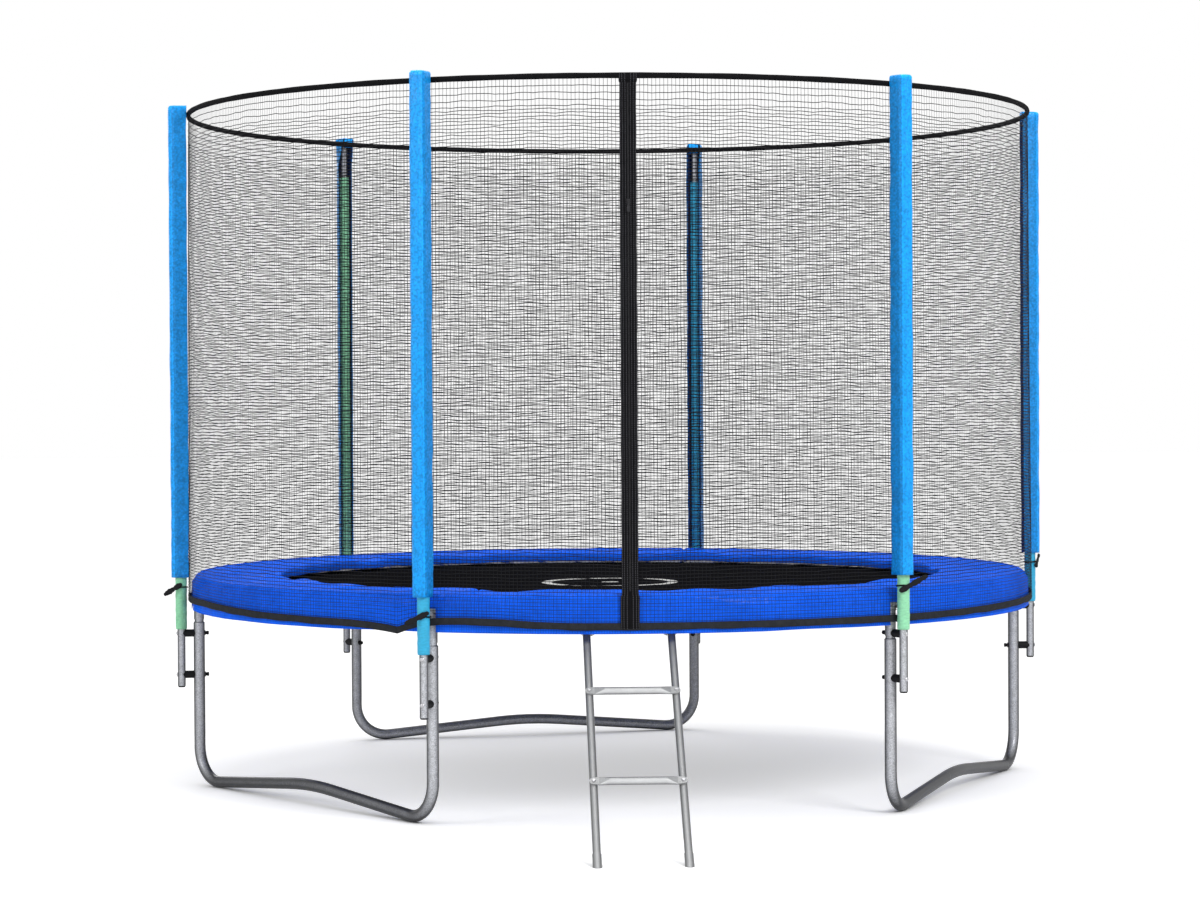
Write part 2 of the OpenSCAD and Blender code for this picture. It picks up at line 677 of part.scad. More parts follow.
module ladder_feet() {
    cap_r = rail_r + fit + cap_wall;
    color(LADDER) difference() {
        on_ladder() for (side = [-1, 1]) translate([side * ladder_w / 2, 0, -30]) difference() {
            cylinder(r = cap_r, h = rail_low + 60);
            translate([0, 0, rail_low + 30 - fit]) cylinder(r = rail_r + fit, h = 60);
        }
        translate([-ladder_w, -swing_y - ladder_reach - 200, -100]) cube([ladder_w * 2, 400, 100]);
    }
}

for (i = [1:posts]) {
    ring_segment(i);
    leg_tube(i);
    pole_lower(i);
    pole_upper(i);
    pole_sleeve(i);
}
for (l = [1:posts / 2])
    leg_base(l);
foam_green();
foam_cyan();
pole_spacers();
pole_bolts();
pole_nuts();
pole_end_plugs();
net_ties();
tie_toggles();
net_wall();
net_top_hoop();
net_top_band();
net_hem_band();
zip_band();
zip_slider();
zip_pull();
jump_mat();
mat_edge_band();
mat_rings();
mat_springs();
safety_pad();
pad_skirt();
ladder_rail(-ladder_w / 2);  // ladder_rail_left
ladder_rail(ladder_w / 2);  // ladder_rail_right
ladder_rungs();
ladder_hooks();
ladder_bolts();
ladder_feet();
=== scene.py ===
import math

import bpy
import numpy as np
from mathutils import Matrix, Vector


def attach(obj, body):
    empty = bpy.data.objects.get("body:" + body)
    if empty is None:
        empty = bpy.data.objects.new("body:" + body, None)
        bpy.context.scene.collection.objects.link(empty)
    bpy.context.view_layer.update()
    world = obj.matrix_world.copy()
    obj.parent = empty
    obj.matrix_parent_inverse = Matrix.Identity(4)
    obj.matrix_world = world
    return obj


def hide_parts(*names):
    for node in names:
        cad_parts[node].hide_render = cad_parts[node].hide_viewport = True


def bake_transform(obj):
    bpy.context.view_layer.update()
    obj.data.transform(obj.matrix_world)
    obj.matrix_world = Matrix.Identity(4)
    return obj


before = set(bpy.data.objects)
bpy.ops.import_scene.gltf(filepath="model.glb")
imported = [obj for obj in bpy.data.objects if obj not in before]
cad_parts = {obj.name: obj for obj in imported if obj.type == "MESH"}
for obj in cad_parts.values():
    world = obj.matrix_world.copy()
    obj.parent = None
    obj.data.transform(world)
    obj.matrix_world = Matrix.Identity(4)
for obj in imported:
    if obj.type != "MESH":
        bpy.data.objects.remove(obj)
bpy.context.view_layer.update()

bl_info = {
    "name": "Garden Trampoline",
    "version": (1, 0, 0),
    "blender": (4, 5, 0),
    "location": "View3D > Sidebar > Trampoline",
    "description": "Soft goods, finishes and studio for a round trampoline with a net enclosure",
    "category": "Object",
}

POSTS = 6
POST_TURNS = (35.5, 91.9, 164.2, 220.6, 278.7, 335.1)
POST_LIFTS = (0.058, 0.058, 0.0, 0.0, 0.0, 0.0)
SLEEVE_LIFT_SHARE = 0.9
GREEN_POSTS = (0, 3, 4)
POLE_RADIUS = 1.563
SPRINGS = 60
FULL_TURN = 2 * math.pi


# ---- Settings ----
class TrampolineSizes(bpy.types.PropertyGroup):
    foam_radius: bpy.props.FloatProperty(
        name="Foam radius", description="Outer radius of the foam round the poles", default=0.021, unit="LENGTH")
    foam_top: bpy.props.FloatProperty(
        name="Foam top", description="Height of the upper end of the foam", default=2.27, unit="LENGTH")
    sleeve_width: bpy.props.FloatProperty(
        name="Sleeve width", description="Width of a pole sleeve at its open side", default=0.057, unit="LENGTH")
    sleeve_top: bpy.props.FloatProperty(
        name="Sleeve top", description="Height of the closed end of the pole sleeves", default=2.426, unit="LENGTH")
    sleeve_bottom: bpy.props.FloatProperty(
        name="Sleeve bottom", description="Height of the lower end of the pole sleeves", default=0.743, unit="LENGTH")
    mesh_column: bpy.props.FloatProperty(
        name="Net column", description="Distance between upright threads of the net", default=0.0128, unit="LENGTH")
    mesh_row: bpy.props.FloatProperty(
        name="Net row", description="Distance between level threads of the net", default=0.0112, unit="LENGTH")
    thread: bpy.props.FloatProperty(
        name="Net thread", description="Half the height of a level thread of the net", default=0.00140, unit="LENGTH")
    pad_crown: bpy.props.FloatProperty(
        name="Pad crown", description="Height of the pad above its underside", default=0.03, unit="LENGTH")
    spring_turns: bpy.props.IntProperty(
        name="Spring turns", description="Turns of wire in each spring", default=26, min=4, max=60)


class TrampolineColours(bpy.types.PropertyGroup):
    steel: bpy.props.FloatVectorProperty(
        name="Galvanised tube", description="Colour of the ring, legs and poles",
        subtype="COLOR", size=3, default=(0.25, 0.255, 0.27))
    ladder: bpy.props.FloatVectorProperty(
        name="Ladder", description="Colour of the coated ladder",
        subtype="COLOR", size=3, default=(0.41, 0.415, 0.42))
    sleeve: bpy.props.FloatVectorProperty(
        name="Pole sleeve", description="Outer colour of the pole sleeves",
        subtype="COLOR", size=3, default=(0.006, 0.335, 0.90))
    # darker than the sleeve: partly the lining's own colour, partly painted shade inside the sleeve
    lining: bpy.props.FloatVectorProperty(
        name="Sleeve lining", description="Colour inside the pole sleeves",
        subtype="COLOR", size=3, default=(0.006, 0.075, 0.36))
    pad: bpy.props.FloatVectorProperty(
        name="Safety pad", description="Colour of the pad and its skirt",
        subtype="COLOR", size=3, default=(0.011, 0.14, 1.0))
    foam_green: bpy.props.FloatVectorProperty(
        name="Green foam", description="Colour of the green foam tubes",
        subtype="COLOR", size=3, default=(0.30, 0.72, 0.43))
    foam_cyan: bpy.props.FloatVectorProperty(
        name="Cyan foam", description="Colour of the cyan foam tubes",
        subtype="COLOR", size=3, default=(0.040, 0.44, 0.72))
    netting: bpy.props.FloatVectorProperty(
        name="Netting", description="Colour of the net's threads",
        subtype="COLOR", size=3, default=(0.010, 0.010, 0.011))
    webbing: bpy.props.FloatVectorProperty(
        name="Webbing", description="Colour of bands, ties and the door's edge",
        subtype="COLOR", size=3, default=(0.007, 0.007, 0.008))
    mat: bpy.props.FloatVectorProperty(
        name="Jumping mat", description="Colour of the woven mat",
        subtype="COLOR", size=3, default=(0.006, 0.006, 0.007))


def sizes():
    return bpy.context.scene.trampoline_sizes


def colours():
    return bpy.context.scene.trampoline_colours


# ---- Surfaces ----
def stacked(*parts):
    """Arrays that broadcast together, set side by side as the last direction of one array."""
    return np.stack(np.broadcast_arrays(*parts), axis=-1)


def round_turn(count):
    """Even angles once round, in radians, without the last one, which would repeat the first."""
    return np.linspace(0, FULL_TURN, count + 1)[:-1]


def turn_point(turn, radius, z):
    """Point at a turn from the front, in degrees towards +X: (r sin t, -r cos t, z). Arrays are taken as a whole."""
    t = np.radians(turn)
    return stacked(radius * np.sin(t), -radius * np.cos(t), z)


def unit(v):
    return v / np.maximum(np.linalg.norm(v, axis=-1, keepdims=True), 1e-12)


def run_lengths(points):
    """Length along a line of points, from its start to each point."""
    return np.concatenate([[0], np.cumsum(np.linalg.norm(np.diff(points, axis=0), axis=1))])


def waves(x, seed, counts=(3, 7, 13, 29), fall=0.65):
    """Smooth bumps round a closed turn x in radians: a sum of sines with whole counts, seeded phases, falling sizes."""
    phases = np.random.default_rng(seed).uniform(0, FULL_TURN, len(counts))
    heights = np.array([fall ** k for k in range(len(counts))])
    return sum(h * np.sin(c * x + p) for h, c, p in zip(heights, counts, phases)) / heights.sum()


def grid_faces(rows, columns, close_rows, close_columns, start):
    """Quads of a grid of points stored row by row; a closed direction joins its last line to its first."""
    r = np.arange(rows if close_rows else rows - 1)[:, None]
    c = np.arange(columns if close_columns else columns - 1)[None, :]
    r2, c2 = (r + 1) % rows, (c + 1) % columns
    return stacked(r * columns + c, r * columns + c2, r2 * columns + c2, r2 * columns + c).reshape(-1, 4) + start


class Surface:
    """Collects grids of points, with a place in metres along and across each grid, and makes one mesh of them."""

    def __init__(self):
        self.points, self.faces, self.places, self.slots, self.count = [], [], [], [], 0

    def add(self, points, faces, place):
        self.points.append(points)
        self.faces.append(faces)
        self.places.append(place)
        self.slots.append(np.zeros(len(faces), int))
        self.count += len(points)

    def grid(self, points, place=None, close_rows=False, close_columns=False, keep=None):
        rows, columns = points.shape[:2]
        faces = grid_faces(rows, columns, close_rows, close_columns, self.count)
        if keep is not None:
            faces = faces[keep.reshape(-1)]
        place = np.zeros(2) if place is None else place
        self.add(points.reshape(-1, 3), faces, np.broadcast_to(place, (rows, columns, 2)).reshape(-1, 2))

    def blocks(self, corners):
        """Six-sided blocks, each from a loop of four low corners and the loop of four above it: (blocks, 8, 3)."""
        quads = np.array([(0, 3, 2, 1), (4, 5, 6, 7), (0, 1, 5, 4), (1, 2, 6, 5), (2, 3, 7, 6), (3, 0, 4, 7)])
        starts = self.count + 8 * np.arange(len(corners))
        faces = (quads[None] + starts[:, None, None]).reshape(-1, 4)
        self.add(corners.reshape(-1, 3), faces, np.zeros((8 * len(corners), 2)))

    def tube(self, path, radius, sides, closed=False):
        """A round tube about a path: centre + radius (side cos a + other sin a), where side stands square to the path
        and to a fixed up line, and other to both. A closed path joins its ends; an open one is drawn to a point."""
        path = np.asarray(path, float)
        along = unit(np.roll(path, -1, 0) - np.roll(path, 1, 0) if closed else np.gradient(path, axis=0))
        up = np.array([0.0, 0.0, 1.0]) if abs(along[:, 2]).mean() < 0.9 else np.array([1.0, 0.0, 0.0])
        side = unit(np.cross(along, up))
        other = np.cross(side, along)
        a = np.linspace(0, FULL_TURN, sides, endpoint=False)
        ring = side[:, None] * np.cos(a)[None, :, None] + other[:, None] * np.sin(a)[None, :, None]
        points, length = path[:, None] + radius * ring, run_lengths(path)
        if not closed:
            points = np.concatenate([np.repeat(path[:1, None], sides, 1), points, np.repeat(path[-1:, None], sides, 1)])
            length = np.concatenate([[0], length, [length[-1]]])
        self.grid(points, stacked(a[None, :] * radius, length[:, None]), close_rows=closed, close_columns=True)

    def piece(self, name, *looks, smooth=True, flip=False):
        mesh = bpy.data.meshes.new(name)
        faces = np.concatenate(self.faces)
        mesh.from_pydata(np.concatenate(self.points), [], (faces[:, ::-1] if flip else faces).tolist())
        layer = mesh.uv_layers.new(name="place")
        corners = np.empty(len(mesh.loops), np.int32)
        mesh.loops.foreach_get("vertex_index", corners)
        layer.data.foreach_set("uv", np.concatenate(self.places)[corners].astype(np.float32).ravel())
        for look in looks:
            mesh.materials.append(finishes[look])
        mesh.polygons.foreach_set("material_index", np.concatenate(self.slots).astype(np.int32))
        mesh.polygons.foreach_set("use_smooth", np.full(len(mesh.polygons), smooth))
        mesh.update()
        piece = bpy.data.objects.new(name, mesh)
        bpy.context.scene.collection.objects.link(piece)
        return piece


def grid_piece(name, points, place, *looks, flip=False, **closing):
    """A piece of one grid."""
    surface = Surface()
    surface.grid(points, place, **closing)
    return surface.piece(name, *looks, flip=flip)


def fit(piece, body, node=None):
    """Let a piece ride on its body and stand for its CAD node."""
    if body:
        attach(piece, body)
    if node:
        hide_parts(node)


# ---- Shader groups ----
VECTOR, FLOAT = "NodeSocketVector", "NodeSocketFloat"
groups = {}
finishes = {}


class Wires:
    """Short ways to add nodes to one tree; each returns an output socket."""

    def __init__(self, tree):
        self.tree = tree

    def feed(self, socket, value):
        if isinstance(value, bpy.types.NodeSocket):
            self.tree.links.new(value, socket)
        elif value is not None:
            socket.default_value = value

    def node(self, kind, *values):
        node = self.tree.nodes.new(kind)
        for socket, value in zip(node.inputs, values):
            self.feed(socket, value)
        return node

    def math(self, operation, a, b=None):
        node = self.node("ShaderNodeMath", a, b)
        node.operation = operation
        return node.outputs[0]

    def chain(self, operation, first, *rest):
        for value in rest:
            first = self.math(operation, first, value)
        return first

    def times(self, *values):
        return self.chain("MULTIPLY", *values)

    def plus(self, *values):
        return self.chain("ADD", *values)

    def size_of(self, value, taken):
        """The absolute value of a value less what is taken from it."""
        return self.math("ABSOLUTE", self.math("SUBTRACT", value, taken))

    def split(self, vector):
        return self.node("ShaderNodeSeparateXYZ", vector).outputs

    def noise(self, vector, scale, detail=2.0, roughness=0.5):
        node = self.tree.nodes.new("ShaderNodeTexNoise")
        for label, value in (("Vector", vector), ("Scale", scale), ("Detail", detail), ("Roughness", roughness)):
            self.feed(node.inputs[label], value)
        return node.outputs[0]

    def cells(self, vector, scale, feature="F1", output=0):
        node = self.tree.nodes.new("ShaderNodeTexVoronoi")
        node.feature = feature
        self.feed(node.inputs["Vector"], vector)
        self.feed(node.inputs["Scale"], scale)
        return node.outputs[output]

    def spread(self, value, low, high, new_low, new_high):
        return self.node("ShaderNodeMapRange", value, low, high, new_low, new_high).outputs[0]

    def stretch(self, vector, scale):
        node = self.tree.nodes.new("ShaderNodeMapping")
        self.feed(node.inputs["Vector"], vector)
        node.inputs["Scale"].default_value = scale
        return node.outputs[0]

    def painted_facing_shade(self, facing, turned):
        """Painted highlight and shade: a factor that goes from one value on faces turned to the viewer to another on
        faces seen edge-on, used to paint a round tube lighter in its middle and darker at its sides.
        """
        return self.spread(self.node("ShaderNodeLayerWeight").outputs["Facing"], 0.02, 0.5, facing, turned)

    def seen(self):
        """1 for what the camera, a mirror or glass sees, and 0 for light that bounces."""
        path = self.node("ShaderNodeLightPath").outputs
        return self.chain("MAXIMUM", path["Is Camera Ray"], path["Is Glossy Ray"], path["Is Transmission Ray"])

    def place(self):
        node = self.tree.nodes.new("ShaderNodeUVMap")
        node.uv_map = "place"
        return node.outputs[0]

    def object(self):
        return self.node("ShaderNodeTexCoord").outputs["Object"]

    def group(self, name, place, **inputs):
        node = self.tree.nodes.new("ShaderNodeGroup")
        node.node_tree = groups[name]
        for label, value in (("Place", place), *inputs.items()):
            self.feed(node.inputs[label], value)
        return node.outputs

    def mottle(self, place, scale, low, high):
        return self.group("mottle", place, Scale=scale, Low=low, High=high)[0]


def new_group(name, inputs, *outputs):
    """A group that takes a place and named numbers and puts out named numbers: its wires, inputs and outputs."""
    group = groups[name.lower()] = bpy.data.node_groups.new(name, "ShaderNodeTree")
    group.interface.new_socket(name="Place", in_out="INPUT", socket_type=VECTOR)
    for label, value in inputs.items():
        group.interface.new_socket(name=label, in_out="INPUT", socket_type=FLOAT).default_value = value
    for label in outputs:
        group.interface.new_socket(name=label, in_out="OUTPUT", socket_type=FLOAT)
    return Wires(group), group.nodes.new("NodeGroupInput").outputs, group.nodes.new("NodeGroupOutput").inputs


def build_weave():
    """Plain weave on a flat place: two sets of round threads, |sin| across each, swapped square by square."""
    w, given, out = new_group("Weave", {"Pitch": 0.002}, "Height")
    x, y, _ = w.split(given["Place"])
    u, v = w.math("DIVIDE", x, given["Pitch"]), w.math("DIVIDE", y, given["Pitch"])
    across, upright = (w.math("ABSOLUTE", w.math("SINE", w.times(t, math.pi))) for t in (u, v))
    square = w.math("ABSOLUTE", w.math("MODULO", w.plus(w.math("FLOOR", u), w.math("FLOOR", v)), 2.0))
    w.feed(out["Height"], w.plus(w.times(across, square), w.times(upright, w.math("SUBTRACT", 1.0, square))))


def build_grid_lines():
    """Square grid of thin lines on a flat place: 1 on the lines and 0 between, from the distance to the nearest."""
    w, given, out = new_group("Grid lines", {"Pitch": 0.003, "Width": 0.25}, "Lines")
    x, y, _ = w.split(given["Place"])
    across, upright = (
        w.math("LESS_THAN", w.math("FRACT", w.math("DIVIDE", t, given["Pitch"])), given["Width"]) for t in (x, y))
    w.feed(out["Lines"], w.math("MAXIMUM", across, upright))


def build_stitches():
    """A row of stitches along a flat place's second direction, at a distance across it: one dash every pitch."""
    w, given, out = new_group("Stitches", {"Across": 0.0, "Pitch": 0.006, "Width": 0.0012}, "Mask")
    x, y, _ = w.split(given["Place"])
    near = w.math("LESS_THAN", w.size_of(x, given["Across"]), given["Width"])
    dash = w.math("LESS_THAN", w.math("FRACT", w.math("DIVIDE", y, given["Pitch"])), 0.68)
    w.feed(out["Mask"], w.times(near, dash))


def build_mottle():
    """Uneven tone: coarse and fine noise added together and spread between two values."""
    w, given, out = new_group("Mottle", {"Scale": 30.0, "Low": 0.8, "High": 1.2}, "Value")
    coarse = w.noise(given["Place"], given["Scale"], 4.0, 0.6)
    fine = w.noise(given["Place"], w.times(given["Scale"], 9.0), 2.0, 0.6)
    both = w.plus(w.times(coarse, 0.65), w.times(fine, 0.35))
    w.feed(out["Value"], w.spread(both, 0.3, 0.7, given["Low"], given["High"]))


def build_spangle():
    """Zinc crystals: cells with a tone of their own, broken up by fine grain and by slow clouds."""
    w, given, out = new_group("Spangle", {"Scale": 220.0}, "Tone", "Height")
    tone = w.split(w.cells(given["Place"], given["Scale"], "F1", 1))[0]
    grain = w.noise(given["Place"], w.times(given["Scale"], 4.0), 2.0, 0.7)
    cloud = w.noise(given["Place"], w.times(given["Scale"], 0.12), 3.0, 0.6)
    w.feed(out["Tone"], w.plus(w.times(tone, 0.4), w.times(grain, 0.35), w.times(cloud, 0.4)))
    w.feed(out["Height"], grain)


# ---- Materials ----
ZINC, SPRING_ZINC, ROD = (0.50, 0.50, 0.52), (0.55, 0.55, 0.56), (0.68, 0.64, 0.55)
MOULDING, ZIP_MOULDING = (0.009, 0.009, 0.010), (0.03, 0.03, 0.033)
HEM_WEBBING, MAT_PRINT = (0.026, 0.028, 0.032), (0.70, 0.70, 0.69)


def material(name, colour, roughness, metallic=0.0, coat=0.0, specular=0.5):
    """A material with a plain Principled shader whose constants sit on its own sockets."""
    m = finishes[name] = bpy.data.materials.new(name)
    m.use_nodes = True
    shader = m.node_tree.nodes["Principled BSDF"]
    for label, value in (
            ("Base Color", (*colour, 1.0)), ("Roughness", roughness), ("Metallic", metallic), ("Coat Weight", coat),
            ("Specular IOR Level", specular)):
        shader.inputs[label].default_value = value
    return Wires(m.node_tree), shader


def tinted(w, shader, colour, value):
    """Base colour times an uneven value."""
    node = w.tree.nodes.new("ShaderNodeMix")
    node.data_type, node.blend_type = "RGBA", "MULTIPLY"
    node.inputs[0].default_value = 1.0
    node.inputs[6].default_value = (*colour, 1.0)
    w.feed(node.inputs[7], w.node("ShaderNodeCombineColor", value, value, value).outputs[0])
    w.feed(shader.inputs["Base Color"], node.outputs[2])


def bump(w, shader, height, distance, strength):
    node = w.tree.nodes.new("ShaderNodeBump")
    node.inputs["Distance"].default_value = distance
    node.inputs["Strength"].default_value = strength
    w.feed(node.inputs["Height"], height)
    w.feed(shader.inputs["Normal"], node.outputs[0])


def make_metals():
    c = colours()
    w, s = material("galvanised_tube", c.steel, 0.38, 0.22, specular=0.2)
    tone, grain = w.group("spangle", w.object(), Scale=420.0)
    # the spangle's tone is the zinc's own; the facing factor paints a highlight down the tube's middle and shade at its
    # sides
    tinted(w, s, c.steel, w.times(w.spread(tone, 0.3, 0.85, 0.66, 1.5), w.painted_facing_shade(1.9, 0.20)))
    w.feed(s.inputs["Roughness"], w.spread(tone, 0.3, 0.85, 0.28, 0.46))
    bump(w, s, grain, 0.0001, 0.4)
    w, s = material("coated_ladder_tube", c.ladder, 0.38, 0.25, specular=0.3)
    value = w.mottle(w.object(), 35.0, 0.93, 1.07)
    # the facing factor paints a highlight down the tube's middle and shade at its sides
    tinted(w, s, c.ladder, w.times(value, w.painted_facing_shade(1.5, 0.36)))
    w.feed(s.inputs["Roughness"], w.spread(value, 0.93, 1.07, 0.32, 0.44))
    bump(w, s, w.noise(w.object(), 900.0, 1.0), 0.00005, 0.4)
    for name, colour, scale in (("zinc_hardware", ZINC, 160.0), ("spring_wire", SPRING_ZINC, 120.0)):
        w, s = material(name, colour, 0.28, 0.9)
        value = w.mottle(w.object(), scale, 0.6, 1.15)
        tinted(w, s, colour, value)
        w.feed(s.inputs["Roughness"], w.spread(value, 0.6, 1.15, 0.44, 0.24))
        bump(w, s, value, 0.0001, 0.4)


def make_plastics():
    for name, colour, rough in (("black_moulding", MOULDING, 0.55), ("zip_moulding", ZIP_MOULDING, 0.38)):
        w, s = material(name, colour, rough, specular=0.12)
        value = w.mottle(w.object(), 180.0, 0.7, 1.35)
        tinted(w, s, colour, value)
        w.feed(s.inputs["Roughness"], w.spread(value, 0.7, 1.35, rough - 0.1, rough + 0.14))
        bump(w, s, value, 0.0002, 0.35)
    w, s = material("hoop_rod", ROD, 0.4)
    tinted(w, s, ROD, w.mottle(w.object(), 60.0, 0.85, 1.1))


def make_foam_skins():
    c = colours()
    for name, colour in (("green_foam_skin", c.foam_green), ("cyan_foam_skin", c.foam_cyan)):
        w, s = material(name, colour, 0.4, coat=0.06, specular=0.25)
        creases = w.noise(w.stretch(w.place(), (60.0, 180.0, 1.0)), 1.0, 4.0, 0.6)
        tone = w.mottle(w.object(), 14.0, 0.86, 1.12)
        # the crease hollows are painted darker and the ridges lighter: painted shade and highlight
        tinted(w, s, colour, w.times(tone, w.spread(creases, 0.3, 0.7, 0.88, 1.1)))
        w.feed(s.inputs["Roughness"], w.spread(creases, 0.3, 0.7, 0.28, 0.46))
        bump(w, s, creases, 0.0016, 0.8)


def make_vinyls():
    c = colours()
    girth = float(sleeve_section(sizes().sleeve_width)[1][-1])
    top = sizes().sleeve_top
    # the lining's darker blue on the inner faces is partly its own colour and partly painted shade
    for name, colour, span in (("azure_vinyl", c.sleeve, (0.82, 1.16)), ("sleeve_lining", c.lining, (0.75, 1.2))):
        w, s = material(name, colour, 0.38, coat=0.05, specular=0.22)
        place = w.place()
        pebble, fine = w.cells(place, 150.0, "SMOOTH_F1"), w.cells(place, 420.0)
        creases = w.noise(w.stretch(place, (22.0, 9.0, 1.0)), 1.0, 5.0, 0.62)
        tone = w.mottle(w.object(), 26.0, *span)
        # the pebbles are painted lighter on their raised middles and darker between them: painted highlight and shade
        grain = w.plus(w.spread(pebble, 0.1, 0.7, 1.30, 0.80), w.spread(fine, 0.0, 0.6, 0.10, -0.08))
        # painted shade and highlight: the strips beside the folds are painted darker, the folds themselves and the
        # closed end painted lighter
        across = w.size_of(w.split(place)[0], girth / 2)
        fold = w.spread(w.size_of(across, 0.0255), 0.0, 0.0025, 0.28, 0.0)
        side_shade_and_fold_highlight = w.plus(w.spread(across, 0.0262, 0.0300, 1.0, 0.74), fold)
        end = w.spread(w.split(place)[1], top - 0.022, top, 1.0, 1.35)
        tinted(w, s, colour, w.times(w.times(tone, grain), w.times(side_shade_and_fold_highlight, end)))
        w.feed(s.inputs["Roughness"], w.spread(pebble, 0.1, 0.7, 0.3, 0.5))
        bump(w, s, w.plus(w.times(pebble, -0.5), w.times(creases, 0.8)), 0.0022, 0.65)
    w, s = material("royal_vinyl", c.pad, 0.5, coat=0.06, specular=0.0)
    place = w.place()
    lines = w.group("grid lines", place, Pitch=0.0085, Width=0.22)[0]
    creases = w.noise(w.stretch(place, (14.0, 26.0, 1.0)), 1.0, 5.0, 0.6)
    tinted(w, s, c.pad, w.times(w.mottle(w.object(), 4.0, 0.74, 1.18), w.spread(lines, 0.0, 1.0, 1.04, 0.74)))
    w.feed(s.inputs["Roughness"], w.spread(creases, 0.3, 0.7, 0.27, 0.45))
    bump(w, s, w.plus(w.times(lines, -0.04), creases), 0.004, 0.5)


def make_textiles():
    c = colours()
    w, s = material("netting", c.netting, 0.7, specular=0.1)
    tinted(w, s, c.netting, w.mottle(w.object(), 220.0, 0.6, 1.6))
    for name, colour, pitch in (
            ("black_webbing", c.webbing, 0.0022), ("hem_webbing", HEM_WEBBING, 0.0024),
            ("zip_tape", c.webbing, 0.0018)):
        w, s = material(name, colour, 0.8, specular=0.04)
        place = w.place()
        height = w.group("weave", place, Pitch=pitch)[0]
        # the weave's hollows are painted darker and its thread crowns lighter: painted shade and highlight
        value = w.times(w.mottle(w.object(), 60.0, 0.75, 1.35), w.spread(height, 0.0, 1.0, 0.5, 1.3))
        if name == "zip_tape":
            rows = [w.group("stitches", place, Across=side * line, Pitch=0.007, Width=0.0009)[0]
                    for side in (-1, 1) for line in (0.0085, 0.0175, 0.0242)]
            value = w.plus(value, w.times(w.plus(*rows), 9.0))
        tinted(w, s, colour, value)
        bump(w, s, height, 0.0006, 0.8)
    for name, colour, span in (("mat_weave", c.mat, (0.4, 1.7)), ("mat_print", MAT_PRINT, (0.5, 1.05))):
        w, s = material(name, colour, 0.9, specular=0.0)
        height = w.group("weave", w.place(), Pitch=0.0032)[0]
        # the weave's hollows are painted darker and its thread crowns lighter: painted shade and highlight
        tinted(w, s, colour, w.times(w.mottle(w.object(), 6.0, 0.8, 1.2), w.spread(height, 0.0, 1.0, *span)))
        bump(w, s, height, 0.0008, 0.7)


HARD_FINISHES = {
    "ring_segment": "galvanised_tube", "leg_tube": "galvanised_tube", "leg_base": "galvanised_tube",
    "pole_lower": "galvanised_tube", "pole_upper": "galvanised_tube", "pole_spacers": "black_moulding",
    "pole_nuts": "black_moulding", "pole_end_plugs": "black_moulding", "pole_bolts": "zinc_hardware",
    "ladder_bolts": "zinc_hardware", "zip_slider": "zip_moulding", "zip_pull": "zip_moulding",
    "net_top_hoop": "hoop_rod", "ladder": "coated_ladder_tube",
}


class TRAMPOLINE_OT_finishes(bpy.types.Operator):
    """Build the shader groups and every material, and give the hard parts theirs"""
    bl_idname = "trampoline.finishes"
    bl_label = "Finishes"

    def execute(self, context):
        for build in (
                build_weave, build_grid_lines, build_stitches, build_mottle, build_spangle, make_metals, make_plastics,
                make_foam_skins, make_vinyls, make_textiles):
            build()
        for name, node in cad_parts.items():
            found = [HARD_FINISHES[k] for k in sorted(HARD_FINISHES, key=len, reverse=True) if name.startswith(k)]
            if found:
                node.data.materials.clear()
                node.data.materials.append(finishes[found[0]])
        return {"FINISHED"}


# ---- Poles ----
FOAM_BOTTOM, FOAM_BORE = 0.5577, 0.0145
SLEEVE_BACK, SLEEVE_REACH, SLEEVE_FRONT, SLEEVE_LIP = 0.0218, 0.0288, 0.0335, 0.0300
SLEEVE_ROUND, SLEEVE_NET_GAP, SLEEVE_WALL = 0.010, 0.0048, 0.0024
# How far each sleeve hangs to one side on its foam, and how far it hangs turned about its pole, in degrees
SLEEVE_SHIFTS = (0.0, 0.0, 0.0, 0.0, 0.0, -0.005)
SLEEVE_TWISTS = (0.0, 0.0, 6.0, 27.0, 0.0, 0.0)


def post_frame(post):
    """Centre of a post's pole at the ground, and the directions across it and out from the net."""
    t = math.radians(POST_TURNS[post])
    out = np.array([math.sin(t), -math.cos(t), 0.0])
    across = np.array([math.cos(t), math.sin(t), 0.0])
    return out * POLE_RADIUS, across, out


def round_pole(post, radius, a, z):
    """Points about a post's pole: centre + radius (across cos a + out sin a), at a height."""
    centre, across, out = post_frame(post)
    radius, a, z = np.broadcast_arrays(radius, a, z)
    points = centre + radius[..., None] * (np.cos(a)[..., None] * across + np.sin(a)[..., None] * out)
    points[..., 2] = z
    return points


def sleeve_low(post):
    return sizes().sleeve_bottom + POST_LIFTS[post] * SLEEVE_LIFT_SHARE


class TRAMPOLINE_OT_foam(bpy.types.Operator):
    """Foam tubes round the poles: a ring profile carried up the pole, with shallow dents where the film is tight"""
    bl_idname = "trampoline.foam"
    bl_label = "Foam tubes"

    def execute(self, context):
        radius, top = sizes().foam_radius, sizes().foam_top
        a = round_turn(32)[None]
        for post in range(POSTS):
            low = FOAM_BOTTOM + POST_LIFTS[post]
            z = np.linspace(low, top, 260)[:, None]
            dent = 0.0006 * np.sin(z * 190 + 2 * np.sin(a + post)) * np.sin(z * 37 + a * 2 + post)
            end = np.minimum(z - low, top - z)
            outer = radius - 0.0006 + dent - 0.0009 * np.clip(1 - end / 0.0025, 0, 1) ** 2
            shell = np.concatenate([outer, np.full_like(outer, FOAM_BORE)])
            heights = np.concatenate([z, z[::-1]])
            colour = "green" if post in GREEN_POSTS else "cyan"
            skin = f"{colour}_foam_skin"
            piece = grid_piece(
                f"foam_tube_{post + 1}", round_pole(post, shell, a, heights), stacked(a * radius, heights), skin,
                close_rows=True, close_columns=True)
            fit(piece, "frame", f"foam_{colour}")
        return {"FINISHED"}


